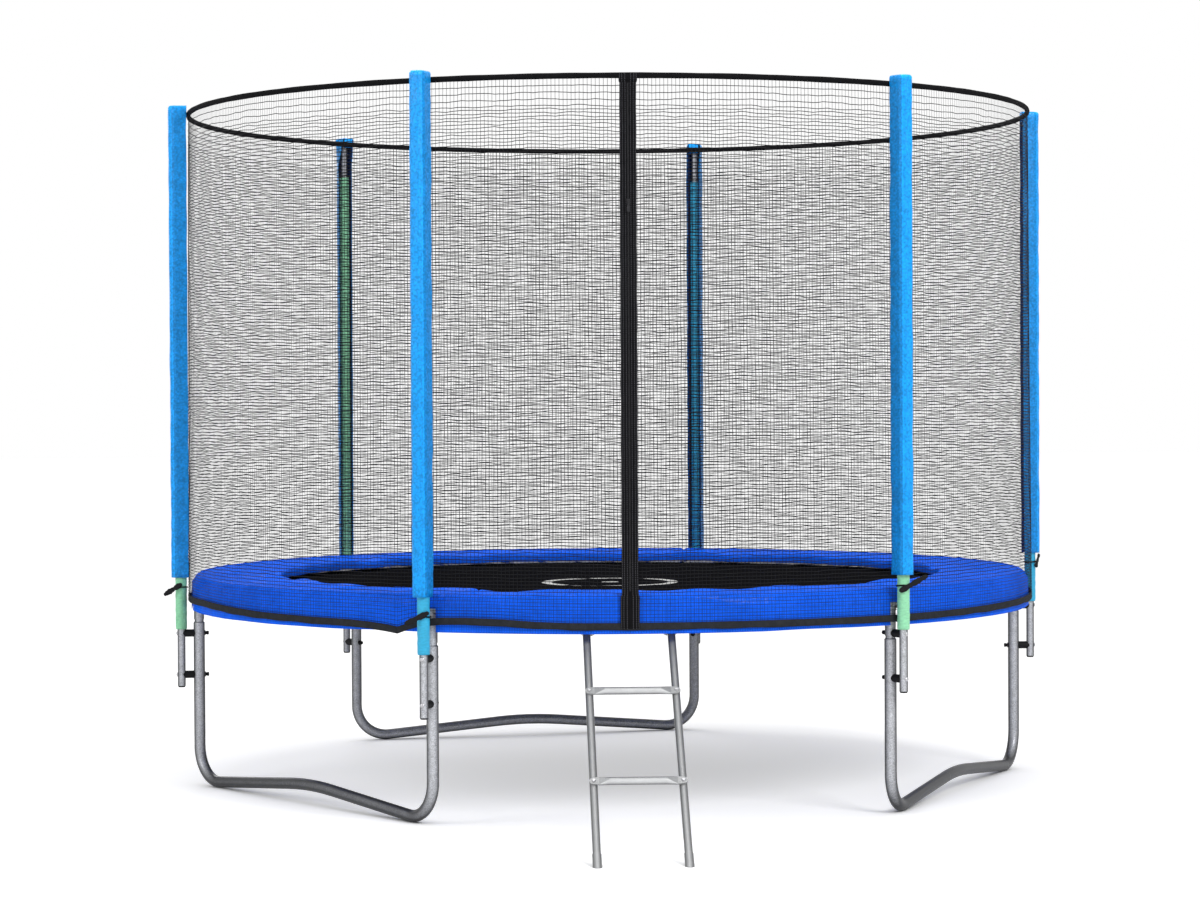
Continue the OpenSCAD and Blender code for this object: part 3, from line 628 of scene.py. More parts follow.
def sleeve_section(width, steps=85):
    """The sleeve's outline in a plane, as (across, out) points at even lengths: a flat back with two bevels a side."""
    w = width / 2
    side = np.array([(w - 0.016, 0.0340), (w - 0.006, 0.0247), (w - 0.001, 0.014), (w, -SLEEVE_BACK)])
    corners = np.concatenate([side[::-1] * (-1, 1), side])
    length = run_lengths(corners)
    u = np.linspace(0, length[-1], steps)
    return np.stack([np.interp(u, length, corners[:, 0]), np.interp(u, length, corners[:, 1])], axis=-1), u


class TRAMPOLINE_OT_sleeves(bpy.types.Operator):
    """Blue sleeves over the pole tops: an outline carried up to a rounded closed end, with a lip over the rim"""
    bl_idname = "trampoline.sleeves"
    bl_label = "Pole sleeves"

    def execute(self, context):
        top, shoulder = sizes().sleeve_top, sizes().sleeve_top - SLEEVE_ROUND
        outline, u = sleeve_section(sizes().sleeve_width)
        flat_x, flat_y, u_row = outline[None, :, 0], outline[None, :, 1], u[None]
        for post in range(POSTS):
            centre, across, out = post_frame(post)
            low = sleeve_low(post)
            z = np.concatenate([
                np.linspace(low, shoulder, 104), shoulder + SLEEVE_ROUND * np.sin(np.linspace(0.15, math.pi / 2, 8))])
            z = z[:, None]
            crease = 0.0010 * np.sin(u_row * 90 + z * 7 + post) * np.sin(z * 23 + u_row * 40 + 2 * post)
            crease = crease - 0.0005 * (1 + np.sin(z * 61 + 9 * np.sin(z * 3 + post)))
            crease = crease * np.clip((top - z) / 0.03, 0, 1)
            up = np.clip((z - shoulder) / SLEEVE_ROUND, 0, 1)
            shrink = 1 + (crease - SLEEVE_ROUND * (1 - np.sqrt(1 - up ** 2))) / SLEEVE_FRONT
            # the open side reaches back to the net and is pressed flat where it meets it
            room = POLE_RADIUS - SLEEVE_NET_GAP - net_radius(z)
            reach = np.minimum(room, SLEEVE_REACH) / SLEEVE_BACK
            side = flat_x * shrink
            front = np.where(flat_y < 0, flat_y * reach * np.minimum(1 + crease / SLEEVE_FRONT, 1), flat_y * shrink)
            twist = math.radians(SLEEVE_TWISTS[post]) * np.clip((top - 0.014 - z) / 0.09, 0, 1)
            wall = stacked(
                side * np.cos(twist) - front * np.sin(twist),
                np.maximum(side * np.sin(twist) + front * np.cos(twist), -room), z)
            # closed end: straight lines from the wall's last ring to the lip's line
            rim = wall[-1, :, :2]
            t = np.linspace(0.04, 1, 9)[:, None]
            edge = stacked(rim[:, 0], -SLEEVE_LIP)
            flat = rim[None] * (1 - t[..., None]) + edge[None] * t[..., None]
            drop = np.linspace(0.002, 0.037, 8)[:, None]
            local = np.concatenate([
                wall, stacked(flat[..., 0], flat[..., 1], top),
                stacked(edge[None, :, 0], edge[None, :, 1], top - drop)])
            points = centre + (local[..., :1] + SLEEVE_SHIFTS[post]) * across + local[..., 1:2] * out
            points[..., 2] = local[..., 2]
            rows = np.concatenate([z, top + t * 0.05, top + 0.05 + drop])
            piece = grid_piece(
                f"pole_sleeve_cover_{post + 1}", points, stacked(u_row, rows), "azure_vinyl", "sleeve_lining")
            solid = piece.modifiers.new("wall", "SOLIDIFY")
            solid.thickness, solid.offset, solid.material_offset, solid.use_even_offset = SLEEVE_WALL, -1.0, 1, True
            fit(piece, "frame", f"pole_sleeve_{post + 1}")
        return {"FINISHED"}


# ---- Net ----
NET_FOOT, NET_HEAD, NET_LOW, NET_HIGH, HEM_LOW = 1.533, 1.522, 0.667, 2.3917, 0.642
THREAD_THIN = 0.0005
TOP_ROW_STEP = 0.022
# Turn of the hem, and how far it is pulled up or hangs down there
HEM_PULLS = np.array([
    (0, -0.004), (20, -0.003), (35.5, -0.004), (45, -0.002), (60, 0.003), (75, 0.006), (88, 0.010), (98, 0.0),
    (262, 0.0), (275, 0.011), (290, 0.014), (300, 0.006), (307.6, 0.0), (318, -0.004), (324, -0.006), (327, -0.011),
    (329.4, -0.017), (331, -0.024), (332.6, -0.010), (334.6, 0.004), (337, 0.009), (340, 0.010), (344.5, 0.007),
    (348.5, 0.0), (353, -0.004), (360, -0.004)])
RIM_RADIUS, RIM_HEIGHT, RIM_THICK, RIM_TALL = 1.523, 2.4, 0.0085, 1.22


def net_radius(z):
    return NET_FOOT + (NET_HEAD - NET_FOOT) * (z - HEM_LOW) / (NET_HIGH - HEM_LOW)


def hem_pull(turn, z):
    """How far the net at a turn and height is drawn up: the hem's own pull, fading out over 0.16 m above it."""
    fade = np.clip(1 - (z - NET_LOW) / 0.16, 0, 1)
    return np.interp(np.mod(turn, 360), HEM_PULLS[:, 0], HEM_PULLS[:, 1]) * fade * fade


def net_surface(turn, z):
    """The net's middle: its straight cone plus slow swells that die out at the hem and rim."""
    x = np.radians(turn)
    free = np.sin(math.pi * np.clip((z - HEM_LOW) / (NET_HIGH - HEM_LOW), 0, 1))
    swell = 0.0013 * free * (waves(x, 5, (5, 11, 23)) + 0.6 * np.sin(x * 17 + z * 4))
    return turn_point(turn, net_radius(z) + 0.001 + swell, z)


def thread_share(z):
    """Share of a thread's full size at a height: the net is stretched thinner below 0.79 m, where it passes the pad."""
    return 1 - 0.45 * np.clip((0.79 - z) / 0.05, 0, 1)


def row_heights(turn, base, k, step):
    """Height of a level thread: its even place plus a wander that differs from row to row."""
    x = np.radians(turn)
    free = np.clip((base - NET_LOW) / 0.25, 0, 1) * np.clip((NET_HIGH - base) / 0.05, 0, 1)
    wander = 0.32 * waves(x, 40, (9, 17, 31, 57)) + 0.34 * waves(x, 90 + k, (40, 71, 103, 151, 227), 0.8)
    return base + free * step * wander + hem_pull(turn, base)


class TRAMPOLINE_OT_net(bpy.types.Operator):
    """Net of single threads: upright and level three-sided tubes on the net's wall, one panel between two posts"""
    bl_idname = "trampoline.net"
    bl_label = "Net"

    def execute(self, context):
        s = sizes()
        columns = int(round(FULL_TURN * NET_HEAD / s.mesh_column))
        top = [NET_HIGH - TOP_ROW_STEP * k for k in range(1, 4)]
        rows = np.concatenate([np.arange(NET_LOW + 0.004, top[-1] - 0.012, s.mesh_row), top[::-1]])
        posts = sorted((t + 360) % 360 for t in POST_TURNS)
        a = (np.arange(3) * FULL_TURN / 3)[:, None]
        z = np.linspace(NET_LOW - 0.003, NET_HIGH + 0.001, 44)
        wander = 0.10 * s.mesh_column * 360 / (FULL_TURN * NET_HEAD)
        upright = np.array([0.0, 0.0, 1.0])
        for panel in range(POSTS):
            start, end = posts[panel - 1] - (360 if panel == 0 else 0), posts[panel]
            surface = Surface()
            # upright threads: all of them as one block of points, thinner at the net's sides
            turns = np.arange(math.ceil(start * columns / 360), math.ceil(end * columns / 360)) * 360 / columns
            sideways = np.sin(np.radians(turns))[:, None, None, None] ** 4
            half = s.thread * 0.56 * (1 - 0.66 * sideways) * thread_share(z)[:, None, None]
            thin = THREAD_THIN * (1 - 0.5 * sideways)
            sway = np.sin(z[None] * 31 + turns[:, None] * 1.7) * np.sin(math.pi * (z[None] - NET_LOW) / 1.7)
            slant = turns[:, None] + wander * sway
            centre = net_surface(slant, z[None] + hem_pull(slant, z[None]))[:, :, None]
            out, side = turn_point(slant, 1.0, 0.0)[:, :, None], turn_point(slant + 90, 1.0, 0.0)[:, :, None]
            for strand in centre + thin * out * np.cos(a) + half * side * np.sin(a):
                surface.grid(strand, close_columns=True)
            # level threads, just outside the upright ones
            along = np.linspace(start, end, int((end - start) * columns / 360 / 1.4) + 1)
            out = turn_point(along, 1.0, 0.0)[:, None]
            for k, base in enumerate(rows):
                centre = net_surface(along, row_heights(along, base, k, s.mesh_row))
                centre = (centre + turn_point(along, THREAD_THIN * 1.8, 0.0))[:, None]
                tall = s.thread * thread_share(base)
                surface.grid(centre + THREAD_THIN * out * np.cos(a) + tall * upright * np.sin(a), close_columns=True)
            piece = surface.piece(f"net_panel_{panel + 1}", "netting")
            fit(piece, "frame", "net_wall")
        return {"FINISHED"}


class TRAMPOLINE_OT_net_edges(bpy.types.Operator):
    """Webbing round the rim hoop, and the hem at the net's foot: closed outlines carried round the full turn"""
    bl_idname = "trampoline.net_edges"
    bl_label = "Net rim and hem"

    def execute(self, context):
        turns = np.linspace(0, 360, 721)[:-1][:, None]
        x = np.radians(turns)
        a = round_turn(24)[None]
        # rim: an upright oval, r cos a out and RIM_TALL r sin a up, lumpy where the webbing is gathered
        r = RIM_THICK - 0.0008 + 0.0006 * np.sin(x * 300) * np.cos(a) + 0.0005 * waves(x, 3, (31, 57, 83))
        points = turn_point(turns, RIM_RADIUS + r * np.cos(a), RIM_HEIGHT + RIM_TALL * r * np.sin(a))
        rim = grid_piece(
            "net_rim_webbing", points, stacked(a * RIM_THICK, x * RIM_RADIUS), "black_webbing",
            close_rows=True, close_columns=True)
        fit(rim, "frame", "net_top_band")
        # hem: a folded flat band, as (out, share of its height) points, with a soft wave along its lower edge
        profile = np.array([
            (-0.0009, 0.0), (-0.0009, 0.25), (-0.0007, 0.5), (-0.0009, 0.8), (-0.0006, 1.0),
            (0.0020, 1.0), (0.0028, 0.8), (0.0023, 0.5), (0.0029, 0.2), (0.0022, 0.0)])
        proud, share = profile[None, :, 0], profile[None, :, 1]
        wave = 0.0016 * waves(x, 12, (19, 41, 67)) + 0.001 * np.cos(x * 60)
        z = HEM_LOW + 0.0005 + 0.0245 * share - 0.6 * (wave - 0.0022) * (1 - share) + hem_pull(turns, NET_LOW)
        hem = grid_piece(
            "net_hem", turn_point(turns, net_radius(0.655) + proud, z), stacked(share * 0.025, x * NET_FOOT),
            "hem_webbing", close_rows=True, close_columns=True)
        fit(hem, "frame", "net_hem_band")
        return {"FINISHED"}


# ---- Door ----
DOOR_STAND, DOOR_OVER_RIM, DOOR_STEP, DOOR_TOP = 0.0033, 1.5313, 2.3797, 2.4075
DOUBLED, AT_RIM = 0.749, 2.376
TEETH_LOW, TEETH_TOP, TOOTH_PITCH = 0.765, 2.374, 0.0034


def door_point(across, out, z):
    """A point on the door's side of the net: across the door, out from the net's inner face, at a height."""
    r = net_radius(z) + out
    return stacked(across, -np.sqrt(np.maximum(r ** 2 - across ** 2, 0)), z)


def door_out(z):
    """How far the door's tape stands outside the net: steady, then over the rim's webbing at the top."""
    step = np.clip((z - DOOR_STEP) / 0.006, 0, 1)
    step = step * step * (3 - 2 * step)
    return DOOR_STAND + step * (DOOR_OVER_RIM - net_radius(z) - DOOR_STAND)


class TRAMPOLINE_OT_door(bpy.types.Operator):
    """Zipped door: a flat tape with cords sewn in, carried up the net and over the rim, and two rows of teeth"""
    bl_idname = "trampoline.door"
    bl_label = "Door"

    def execute(self, context):
        z = np.concatenate([np.linspace(HEM_LOW + 0.0025, AT_RIM, 190), np.linspace(AT_RIM + 0.002, DOOR_TOP, 14)])
        z = z[:, None]
        # wider below, where the tape is doubled, and again at the rim
        past_doubled, past_rim = (np.clip((z - height) / 0.006, 0, 1) for height in (DOUBLED, AT_RIM))
        wide = 1.0 + 0.14 * (1 - past_doubled) + 0.10 * past_rim
        half = np.array([
            0.0268, 0.0264, 0.0250, 0.0230, 0.0205, 0.0180, 0.0160, 0.0135, 0.0110, 0.0092, 0.0076, 0.0050, 0.0020])
        lift = np.array([
            0.0002, 0.0015, 0.0019, 0.0013, 0.0015, 0.0020, 0.0013, 0.0012, 0.0020, 0.0013, 0.0010, 0.0009, 0.0008])
        across = np.concatenate([-half, half[::-1]])
        count = len(across)
        flat_x = np.concatenate([across, across[::-1]])[None]
        proud = np.concatenate([lift, lift[::-1], np.zeros(count)])[None]
        x = flat_x * wide + 0.0004 * np.sin(z * 43) * (np.abs(flat_x) > 0.012)
        points = door_point(x, door_out(z) + proud, np.broadcast_to(z, x.shape))
        surface = Surface()
        surface.grid(points, stacked(flat_x, z), close_columns=True)
        for end, turned in ((0, False), (-1, True)):
            cap = np.stack([points[end, :count], points[end, count:][::-1]])
            surface.grid(cap if turned else cap[::-1])
        fit(surface.piece("door_tape", "zip_tape"), "frame", "zip_band")
        # teeth: one block every pitch on each side in turn, with its corners listed as (across, up, out) shares
        share = np.array([
            (0, -1, 0), (1, -1, 0), (1, -1, 1), (0, -1, 1), (0, 1, 0), (1, 1, 0), (1, 1, 1), (0, 1, 1)])
        surface = Surface()
        for ends, start in (((-0.0031, 0.0005), 0.0), ((-0.0005, 0.0031), TOOTH_PITCH / 2)):
            base = np.arange(TEETH_LOW, TEETH_TOP, TOOTH_PITCH) + start
            h = base[:, None] + share[None, :, 1] * TOOTH_PITCH * 0.21
            o = door_out(h) + 0.0004 + share[None, :, 2] * 0.0017
            surface.blocks(door_point(np.array(ends)[share[:, 0]][None], o, h))
        fit(surface.piece("door_teeth", "zip_moulding", smooth=False), "frame")
        return {"FINISHED"}


# Post by post: how far the tie hangs below its sleeve, then its strap's turn about the foam, shifts, length and tilt
TIES = (
    (0.035, -35.5, 0.029, 0.007, 0.107, 29), (0.033, -46, 0.008, 0.004, 0.055, 65), (0.034, 0, 0.0, 0.0, 0.080, 30),
    (0.034, 0, 0.0, 0.0, 0.080, 30), (0.034, 80, -0.026, -0.008, 0.076, 32), (0.064, 25, -0.021, -0.003, 0.088, 26))
TIE_RADIUS, STRAP_RADIUS = 0.0231, 0.0278


class TRAMPOLINE_OT_ties(bpy.types.Operator):
    """Net ties: a flat cord wound round each foam tube under its sleeve, and a strap end that hangs askew on it"""
    bl_idname = "trampoline.ties"
    bl_label = "Net ties"

    def execute(self, context):
        a = round_turn(72)[:, None]
        profile = np.array([
            (-0.0012, -0.003), (0.0012, -0.003), (0.0015, 0.0), (0.0012, 0.003), (-0.0012, 0.003), (-0.0014, 0.0)])
        u = np.linspace(-1, 1, 41)[:, None]
        b = round_turn(14)[None]
        taper = np.sqrt(np.clip(1 - np.abs(u) ** 9, 0, 1))
        for post in range(POSTS):
            centre, across, out = post_frame(post)
            drop, turn, shift, rise, length, tilt = TIES[post]
            height = sleeve_low(post) - drop
            r = TIE_RADIUS + profile[None, :, 0] + 0.0003 * np.sin(5 * a + post)
            z = height + profile[None, :, 1] * 0.8 + 0.0012 * np.sin(a + 0.4) + 0.0006 * np.sin(3 * a + post)
            cord = grid_piece(
                f"net_tie_{post + 1}", round_pole(post, r, a, z), stacked(np.arange(6)[None] * 0.0024, a * 0.023),
                "black_webbing", close_rows=True, close_columns=True)
            # strap end: an oval outline carried along a slanted line, its width and twist changing on the way
            t, lean = math.radians(turn), math.radians(tilt)
            side, front = across * math.cos(t) - out * math.sin(t), out * math.cos(t) + across * math.sin(t)
            along = side * math.cos(lean) + np.array([0, 0, math.sin(lean)])
            wide = np.array([0, 0, math.cos(lean)]) - side * math.sin(lean)
            half_w = 0.0090 * taper * (1 + 0.14 * np.sin(7 * u + post) + 0.08 * np.sin(19 * u + 2 * post))
            half_t = 0.0025 * taper * (1 + 0.18 * np.sin(11 * u + post))
            twist = 0.22 * np.sin(2.6 * u + post)
            e, n = half_w * np.sign(np.cos(b)) * np.abs(np.cos(b)) ** 0.6, half_t * np.sin(b)
            e, n = e * np.cos(twist) - n * np.sin(twist), e * np.sin(twist) + n * np.cos(twist)
            middle = centre + front * STRAP_RADIUS + side * shift + np.array([0, 0, height + rise])
            points = middle + (u * length / 2)[..., None] * along + e[..., None] * wide + n[..., None] * front
            strap = grid_piece(
                f"tie_strap_{post + 1}", points, stacked(b * 0.006, u * length / 2), "black_moulding",
                close_columns=True)
            fit(cord, "frame", "net_ties")
            fit(strap, "frame", "tie_toggles")
        return {"FINISHED"}


# ---- Mat ----
MAT_RADIUS, MAT_HEIGHT, MAT_HALF = 1.2687, 0.7, 0.001
MARK_DOT, MARK_INNER, MARK_OUTER = 0.032, 0.215, 0.25
EDGE_INNER, EDGE_OUTER, EDGE_THICK, EDGE_SEAMS = 1.2692, 1.3105, 0.0048, (1.2745, 1.279, 1.293, 1.3055)
RING_WIRE, SPRING_WIRE, COIL_START, COIL_END, COIL_RADIUS = 0.0017, 0.0015, 1.3588, 1.4672, 0.0079


class TRAMPOLINE_OT_mat(bpy.types.Operator):
    """Jumping mat: a disc of rings and spokes with a top, an edge and a bottom, and a plain mark in the middle"""
    bl_idname = "trampoline.mat"
    bl_label = "Jumping mat"

    def execute(self, context):
        r = np.unique(np.concatenate([
            [0.0, MARK_DOT, 0.05, MARK_INNER, MARK_OUTER], np.linspace(MARK_OUTER, MAT_RADIUS - 0.0008, 60),
            [MAT_RADIUS - 0.0002]]))
        a = round_turn(180)
        wave = 0.0004 * np.sin(3 * a[None] + r[:, None] * 5) * (r[:, None] < 1.2)
        top, low = (
            stacked(r[:, None] * np.sin(a), -r[:, None] * np.cos(a), MAT_HEIGHT + side * MAT_HALF + wave)
            for side in (1, -1))
        points = np.concatenate([top, low[::-1]])
        surface = Surface()
        surface.grid(points, points[..., :2], close_columns=True)
        between = np.full(len(points) - 1, 9.0)
        between[:len(r) - 1] = (r[:-1] + r[1:]) / 2
        printed = ((between > MARK_INNER) & (between < MARK_OUTER)) | (between < MARK_DOT)
        surface.slots[0] = np.repeat(printed.astype(int), len(a))
        piece = surface.piece("jumping_mat", "mat_weave", "mat_print", flip=True)
        fit(piece, "mat", "jump_mat")
        return {"FINISHED"}


def band_profile(inner, outer, thick, seams):
    """Closed outline of a flat band in (radius, height): both faces dip at each seam by an amount that falls off."""
    r = np.linspace(inner, outer, 34)
    dip = sum(np.exp(-((r - s) / 0.0011) ** 2) for s in seams)
    half = thick / 2 * (1 - 0.34 * dip) * np.minimum(1, ((np.minimum(r - inner, outer - r)) / 0.0012 + 0.25)) ** 0.5
    return np.concatenate([r, r[::-1]]), np.concatenate([half, -half[::-1]])


def spring_turn(k):
    """Turn of a spring, in degrees: midway between even marks."""
    return 360 / SPRINGS * (k + 0.5)


class TRAMPOLINE_OT_mat_edge(bpy.types.Operator):
    """Webbing sewn round the mat, as an outline carried round, and a bent wire triangle in it for each spring"""
    bl_idname = "trampoline.mat_edge"
    bl_label = "Mat edge"

    def execute(self, context):
        turns = np.linspace(0, 360, 361)[:-1][:, None]
        x = np.radians(turns)
        r, h = band_profile(EDGE_INNER, EDGE_OUTER, EDGE_THICK, EDGE_SEAMS)
        band = grid_piece(
            "mat_edge_webbing", turn_point(turns, r[None], MAT_HEIGHT + h[None] + 0.0002 * waves(x, 8, (60, 120))),
            stacked(r[None], x * 1.29), "black_webbing", close_rows=True, close_columns=True)
        fit(band, "mat", "mat_edge_band")
        surface = Surface()
        corner = np.array([
            (1.3125, -0.0145), (1.3125, 0.0145), (1.3145, 0.0155), (1.334, 0.0022), (1.3352, 0.0), (1.334, -0.0022),
            (1.3145, -0.0155)])
        for k in range(SPRINGS):
            turn = spring_turn(k)
            path = turn_point(turn, corner[:, 0], MAT_HEIGHT) + corner[:, 1:] * turn_point(turn + 90, 1.0, 0.0)
            surface.tube(path, RING_WIRE, 6, closed=True)
        fit(surface.piece("mat_wire_rings", "spring_wire"), "mat", "mat_rings")
        return {"FINISHED"}


class TRAMPOLINE_OT_springs(bpy.types.Operator):
    """Springs: wire wound as centre + r (side cos a + up sin a) while it moves out from the mat, with hooked ends"""
    bl_idname = "trampoline.springs"
    bl_label = "Springs"

    def execute(self, context):
        turns_of_wire = sizes().spring_turns
        a = np.linspace(0, FULL_TURN * turns_of_wire, 9 * turns_of_wire + 1)
        quarter = math.pi / 2
        coil = stacked(
            np.linspace(COIL_START, COIL_END, len(a)), COIL_RADIUS * np.cos(a + quarter),
            COIL_RADIUS * np.sin(a + quarter))
        mat_hook = np.array([
            (1.3232, 0, -0.0045), (1.3236, 0, 0.0015), (1.3275, 0, 0.0042), (1.345, 0, 0.0042), (1.354, 0, 0.0068)])
        ring_hook = np.array([(1.4735, 0, 0.0055), (1.4775, 0, 0.0), (1.4835, 0, 0.0), (1.4858, 0, 0.0)])
        local = np.concatenate([mat_hook, coil, ring_hook])
        for k in range(SPRINGS):
            turn = spring_turn(k)
            path = local[:, :1] * turn_point(turn, 1.0, 0.0) + local[:, 1:2] * turn_point(turn + 90, 1.0, 0.0)
            path[:, 2] = MAT_HEIGHT + local[:, 2]
            surface = Surface()
            surface.tube(path, SPRING_WIRE, 5)
            piece = surface.piece(f"spring_{k + 1}", "spring_wire")
            fit(piece, None, "mat_springs")
            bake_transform(piece)
        return {"FINISHED"}


# ---- Safety pad ----
PAD_OUTER, PAD_INNER, PAD_ROUND = 1.5125, 1.2015, 0.023
PAD_WIDE = PAD_OUTER - PAD_INNER
PAD_FLOOR, PAD_CORNER = 0.7112, 0.011
SKIRT_RADIUS, SKIRT_LOW, SKIRT_WALL, SLOT_HALF, SLOT_TOP = 1.5205, 0.627, 0.0014, 0.023, 0.704


def at_ladder(x):
    """1 where the ladder's hooks pass between the ring and the pad, falling smoothly to 0 beside them."""
    degrees = np.abs((np.degrees(x) + 180) % 360 - 180)
    t = np.clip((degrees - 8) / 8, 0, 1)
    return 1 - t * t * (3 - 2 * t)


def nearest(x, turns):
    """Distance from a turn x in radians to the nearest of some turns in degrees, in radians."""
    return np.min(np.abs((x[..., None] - np.radians(turns) + math.pi) % FULL_TURN - math.pi), axis=-1)


def pad_shape(x, wide, up):
    """Radius and height of a point of the pad at a turn x in radians, from its place in the flat outline in metres:
    the outline is stretched between the wavy edges, laid on the springs and ring, and lifted by lumps and folds."""
    share = wide / PAD_WIDE
    inner = PAD_INNER + 0.0026 * waves(x, 21, (5, 9, 17, 31, 47), 0.8) + 0.0012 * waves(x, 4, (60, 83, 111), 0.8)
    outer = PAD_OUTER + 0.0105 * at_ladder(x) + 0.0006 * waves(x, 33, (7, 15, 29, 53), 0.8)
    r = inner + (outer - inner) * share
    floor = PAD_FLOOR + 0.0083 * np.clip((share - 0.3) / 0.5, 0, 1)
    floor = floor + 0.0059 * at_ladder(x) * np.clip((share - 0.55) / 0.3, 0, 1)
    middle = np.sin(math.pi * np.clip(share, 0, 1))
    lumps = 0.0046 * waves(x, 60, (11, 23, 37, 59, 97), 0.85) * middle
    lumps = lumps + 0.0022 * np.sin(41 * x + 9 * share) * np.sin(13 * x - 5 * share) * middle
    fold = 0.006 * np.exp(-(nearest(x, np.array(POST_TURNS) + 1.5) * 1.5 / 0.006) ** 2)
    edge = 0.0088 * (1 + waves(x, 18, (13, 19, 29), 0.9)) * np.clip(1 - share / 0.32, 0, 1) ** 2
    rise = up / sizes().pad_crown
    return r, floor + rise * (sizes().pad_crown + lumps - fold) + edge * (0.35 + 0.65 * rise)


def arc(middle, radius, start, end, steps):
    """Points (middle + radius cos b, middle + radius sin b) from one angle to another, in degrees."""
    b = np.radians(np.linspace(start, end, steps))
    return np.stack([middle[0] + radius * np.cos(b), middle[1] + radius * np.sin(b)], axis=-1)


class TRAMPOLINE_OT_safety_pad(bpy.types.Operator):
    """Safety pad: a flat outline with one large and three small rounded corners, carried round the ring with lumps"""
    bl_idname = "trampoline.safety_pad"
    bl_label = "Safety pad"

    def execute(self, context):
        thick = sizes().pad_crown - 0.001
        outline = np.concatenate([
            arc((PAD_WIDE - 0.003, 0.003), 0.003, -90, 0, 5),
            arc((PAD_WIDE - PAD_ROUND, thick - PAD_ROUND), PAD_ROUND, 0, 90, 11),
            stacked(np.linspace(PAD_WIDE - PAD_ROUND, PAD_CORNER, 30)[1:-1], thick),
            arc((PAD_CORNER, thick - PAD_CORNER), PAD_CORNER, 90, 180, 7), arc((0.004, 0.004), 0.004, 180, 270, 5),
            stacked(np.linspace(0.004, PAD_WIDE - 0.003, 14)[1:-1], 0.0)])
        x = round_turn(1260)[:, None]
        r, z = pad_shape(x, outline[None, :, 0], outline[None, :, 1])
        piece = grid_piece(
            "safety_pad_cover", turn_point(np.degrees(x), r, z), stacked(run_lengths(outline)[None], x * 1.4),
            "royal_vinyl", close_rows=True, close_columns=True)
        fit(piece, "frame", "safety_pad")
        return {"FINISHED"}


class TRAMPOLINE_OT_pad_skirt(bpy.types.Operator):
    """Pad skirt: a thin cloth that starts on top of the pad, turns down over its outer side and hangs in shallow folds,
    with a slot at each post"""
    bl_idname = "trampoline.pad_skirt"
    bl_label = "Pad skirt"

    def execute(self, context):
        thick = sizes().pad_crown - 0.001
        x = round_turn(1440)[:, None]
        over = arc((PAD_WIDE - PAD_ROUND, thick - PAD_ROUND), PAD_ROUND + 0.0016, 98, 6, 12)
        r, z = pad_shape(x, over[None, :, 0], over[None, :, 1])
        drop = np.concatenate([[0.722, 0.7125], np.linspace(0.7035, SKIRT_LOW, 15)])[None]
        down = np.clip((0.7225 - drop) / 0.095, 0, 1)
        fold = 0.0013 * down * (waves(x, 71, (23, 41, 67), 0.8) + 0.5 * np.sin(90 * x + 20 * drop))
        hem = 0.003 * np.maximum(waves(x, 9, (6, 13, 27)), 0) * down
        r = np.concatenate([r, SKIRT_RADIUS + 0.0055 * at_ladder(x) + 0.0015 * down + fold + 0.0005], axis=1)
        points = turn_point(np.degrees(x), r, np.concatenate([z, drop + hem], axis=1))
        length = run_lengths(points[0])
        near = nearest(x + x[1] / 2, POST_TURNS)
        rows = np.concatenate([np.ones(len(over)), drop[0]])
        keep = (near * 1.5266 > SLOT_HALF) | (rows[None, :-1] > SLOT_TOP)
        piece = grid_piece(
            "pad_skirt_cloth", points, stacked(length[None], x * 1.527), "royal_vinyl",
            flip=True, close_rows=True, keep=keep)
        wall = piece.modifiers.new("wall", "SOLIDIFY")
        wall.thickness, wall.offset = SKIRT_WALL, 0.0
        fit(piece, "frame", "pad_skirt")
        return {"FINISHED"}


# ---- Studio ----
CAMERA_PLACE = (-0.4727, -11.278, 1.387)
CAMERA_ANGLES = (-2.4, -0.172, -1.013, -0.285)
CAMERA_LENS = 92.27
WORLD_LIGHT = 0.42
LAMPS = (
    ("key", (4.2, -7.0, 5.6), (0, 0, 1.0), 3.4, 420.0), ("side", (-6.5, -4.5, 4.6), (0, 0, 1.1), 4.0, 200.0),
    ("top", (0.0, 0.5, 7.2), (0, 0, 0.6), 6.0, 230.0), ("back", (-2.5, 7.0, 4.5), (0, 0, 1.3), 4.0, 110.0))


def camera_turn():
    """Camera axes from its bearing, turn, dip and roll, in degrees."""
    az, yaw, pitch, roll = (math.radians(v) for v in CAMERA_ANGLES)
    forward, right = Vector((-math.sin(az), math.cos(az), 0)), Vector((math.cos(az), math.sin(az), 0))
    up = Vector((0, 0, 1))
    f2 = forward * math.cos(yaw) + right * math.sin(yaw)
    r2 = right * math.cos(yaw) - forward * math.sin(yaw)
    f3 = f2 * math.cos(pitch) + up * math.sin(pitch)
    u3 = up * math.cos(pitch) - f2 * math.sin(pitch)
    x = r2 * math.cos(roll) + u3 * math.sin(roll)
    y = u3 * math.cos(roll) - r2 * math.sin(roll)
    return Matrix((x, y, -f3)).transposed().to_4x4()


def add_object(name, data):
    thing = bpy.data.objects.new(name, data)
    bpy.context.scene.collection.objects.link(thing)
    return thing


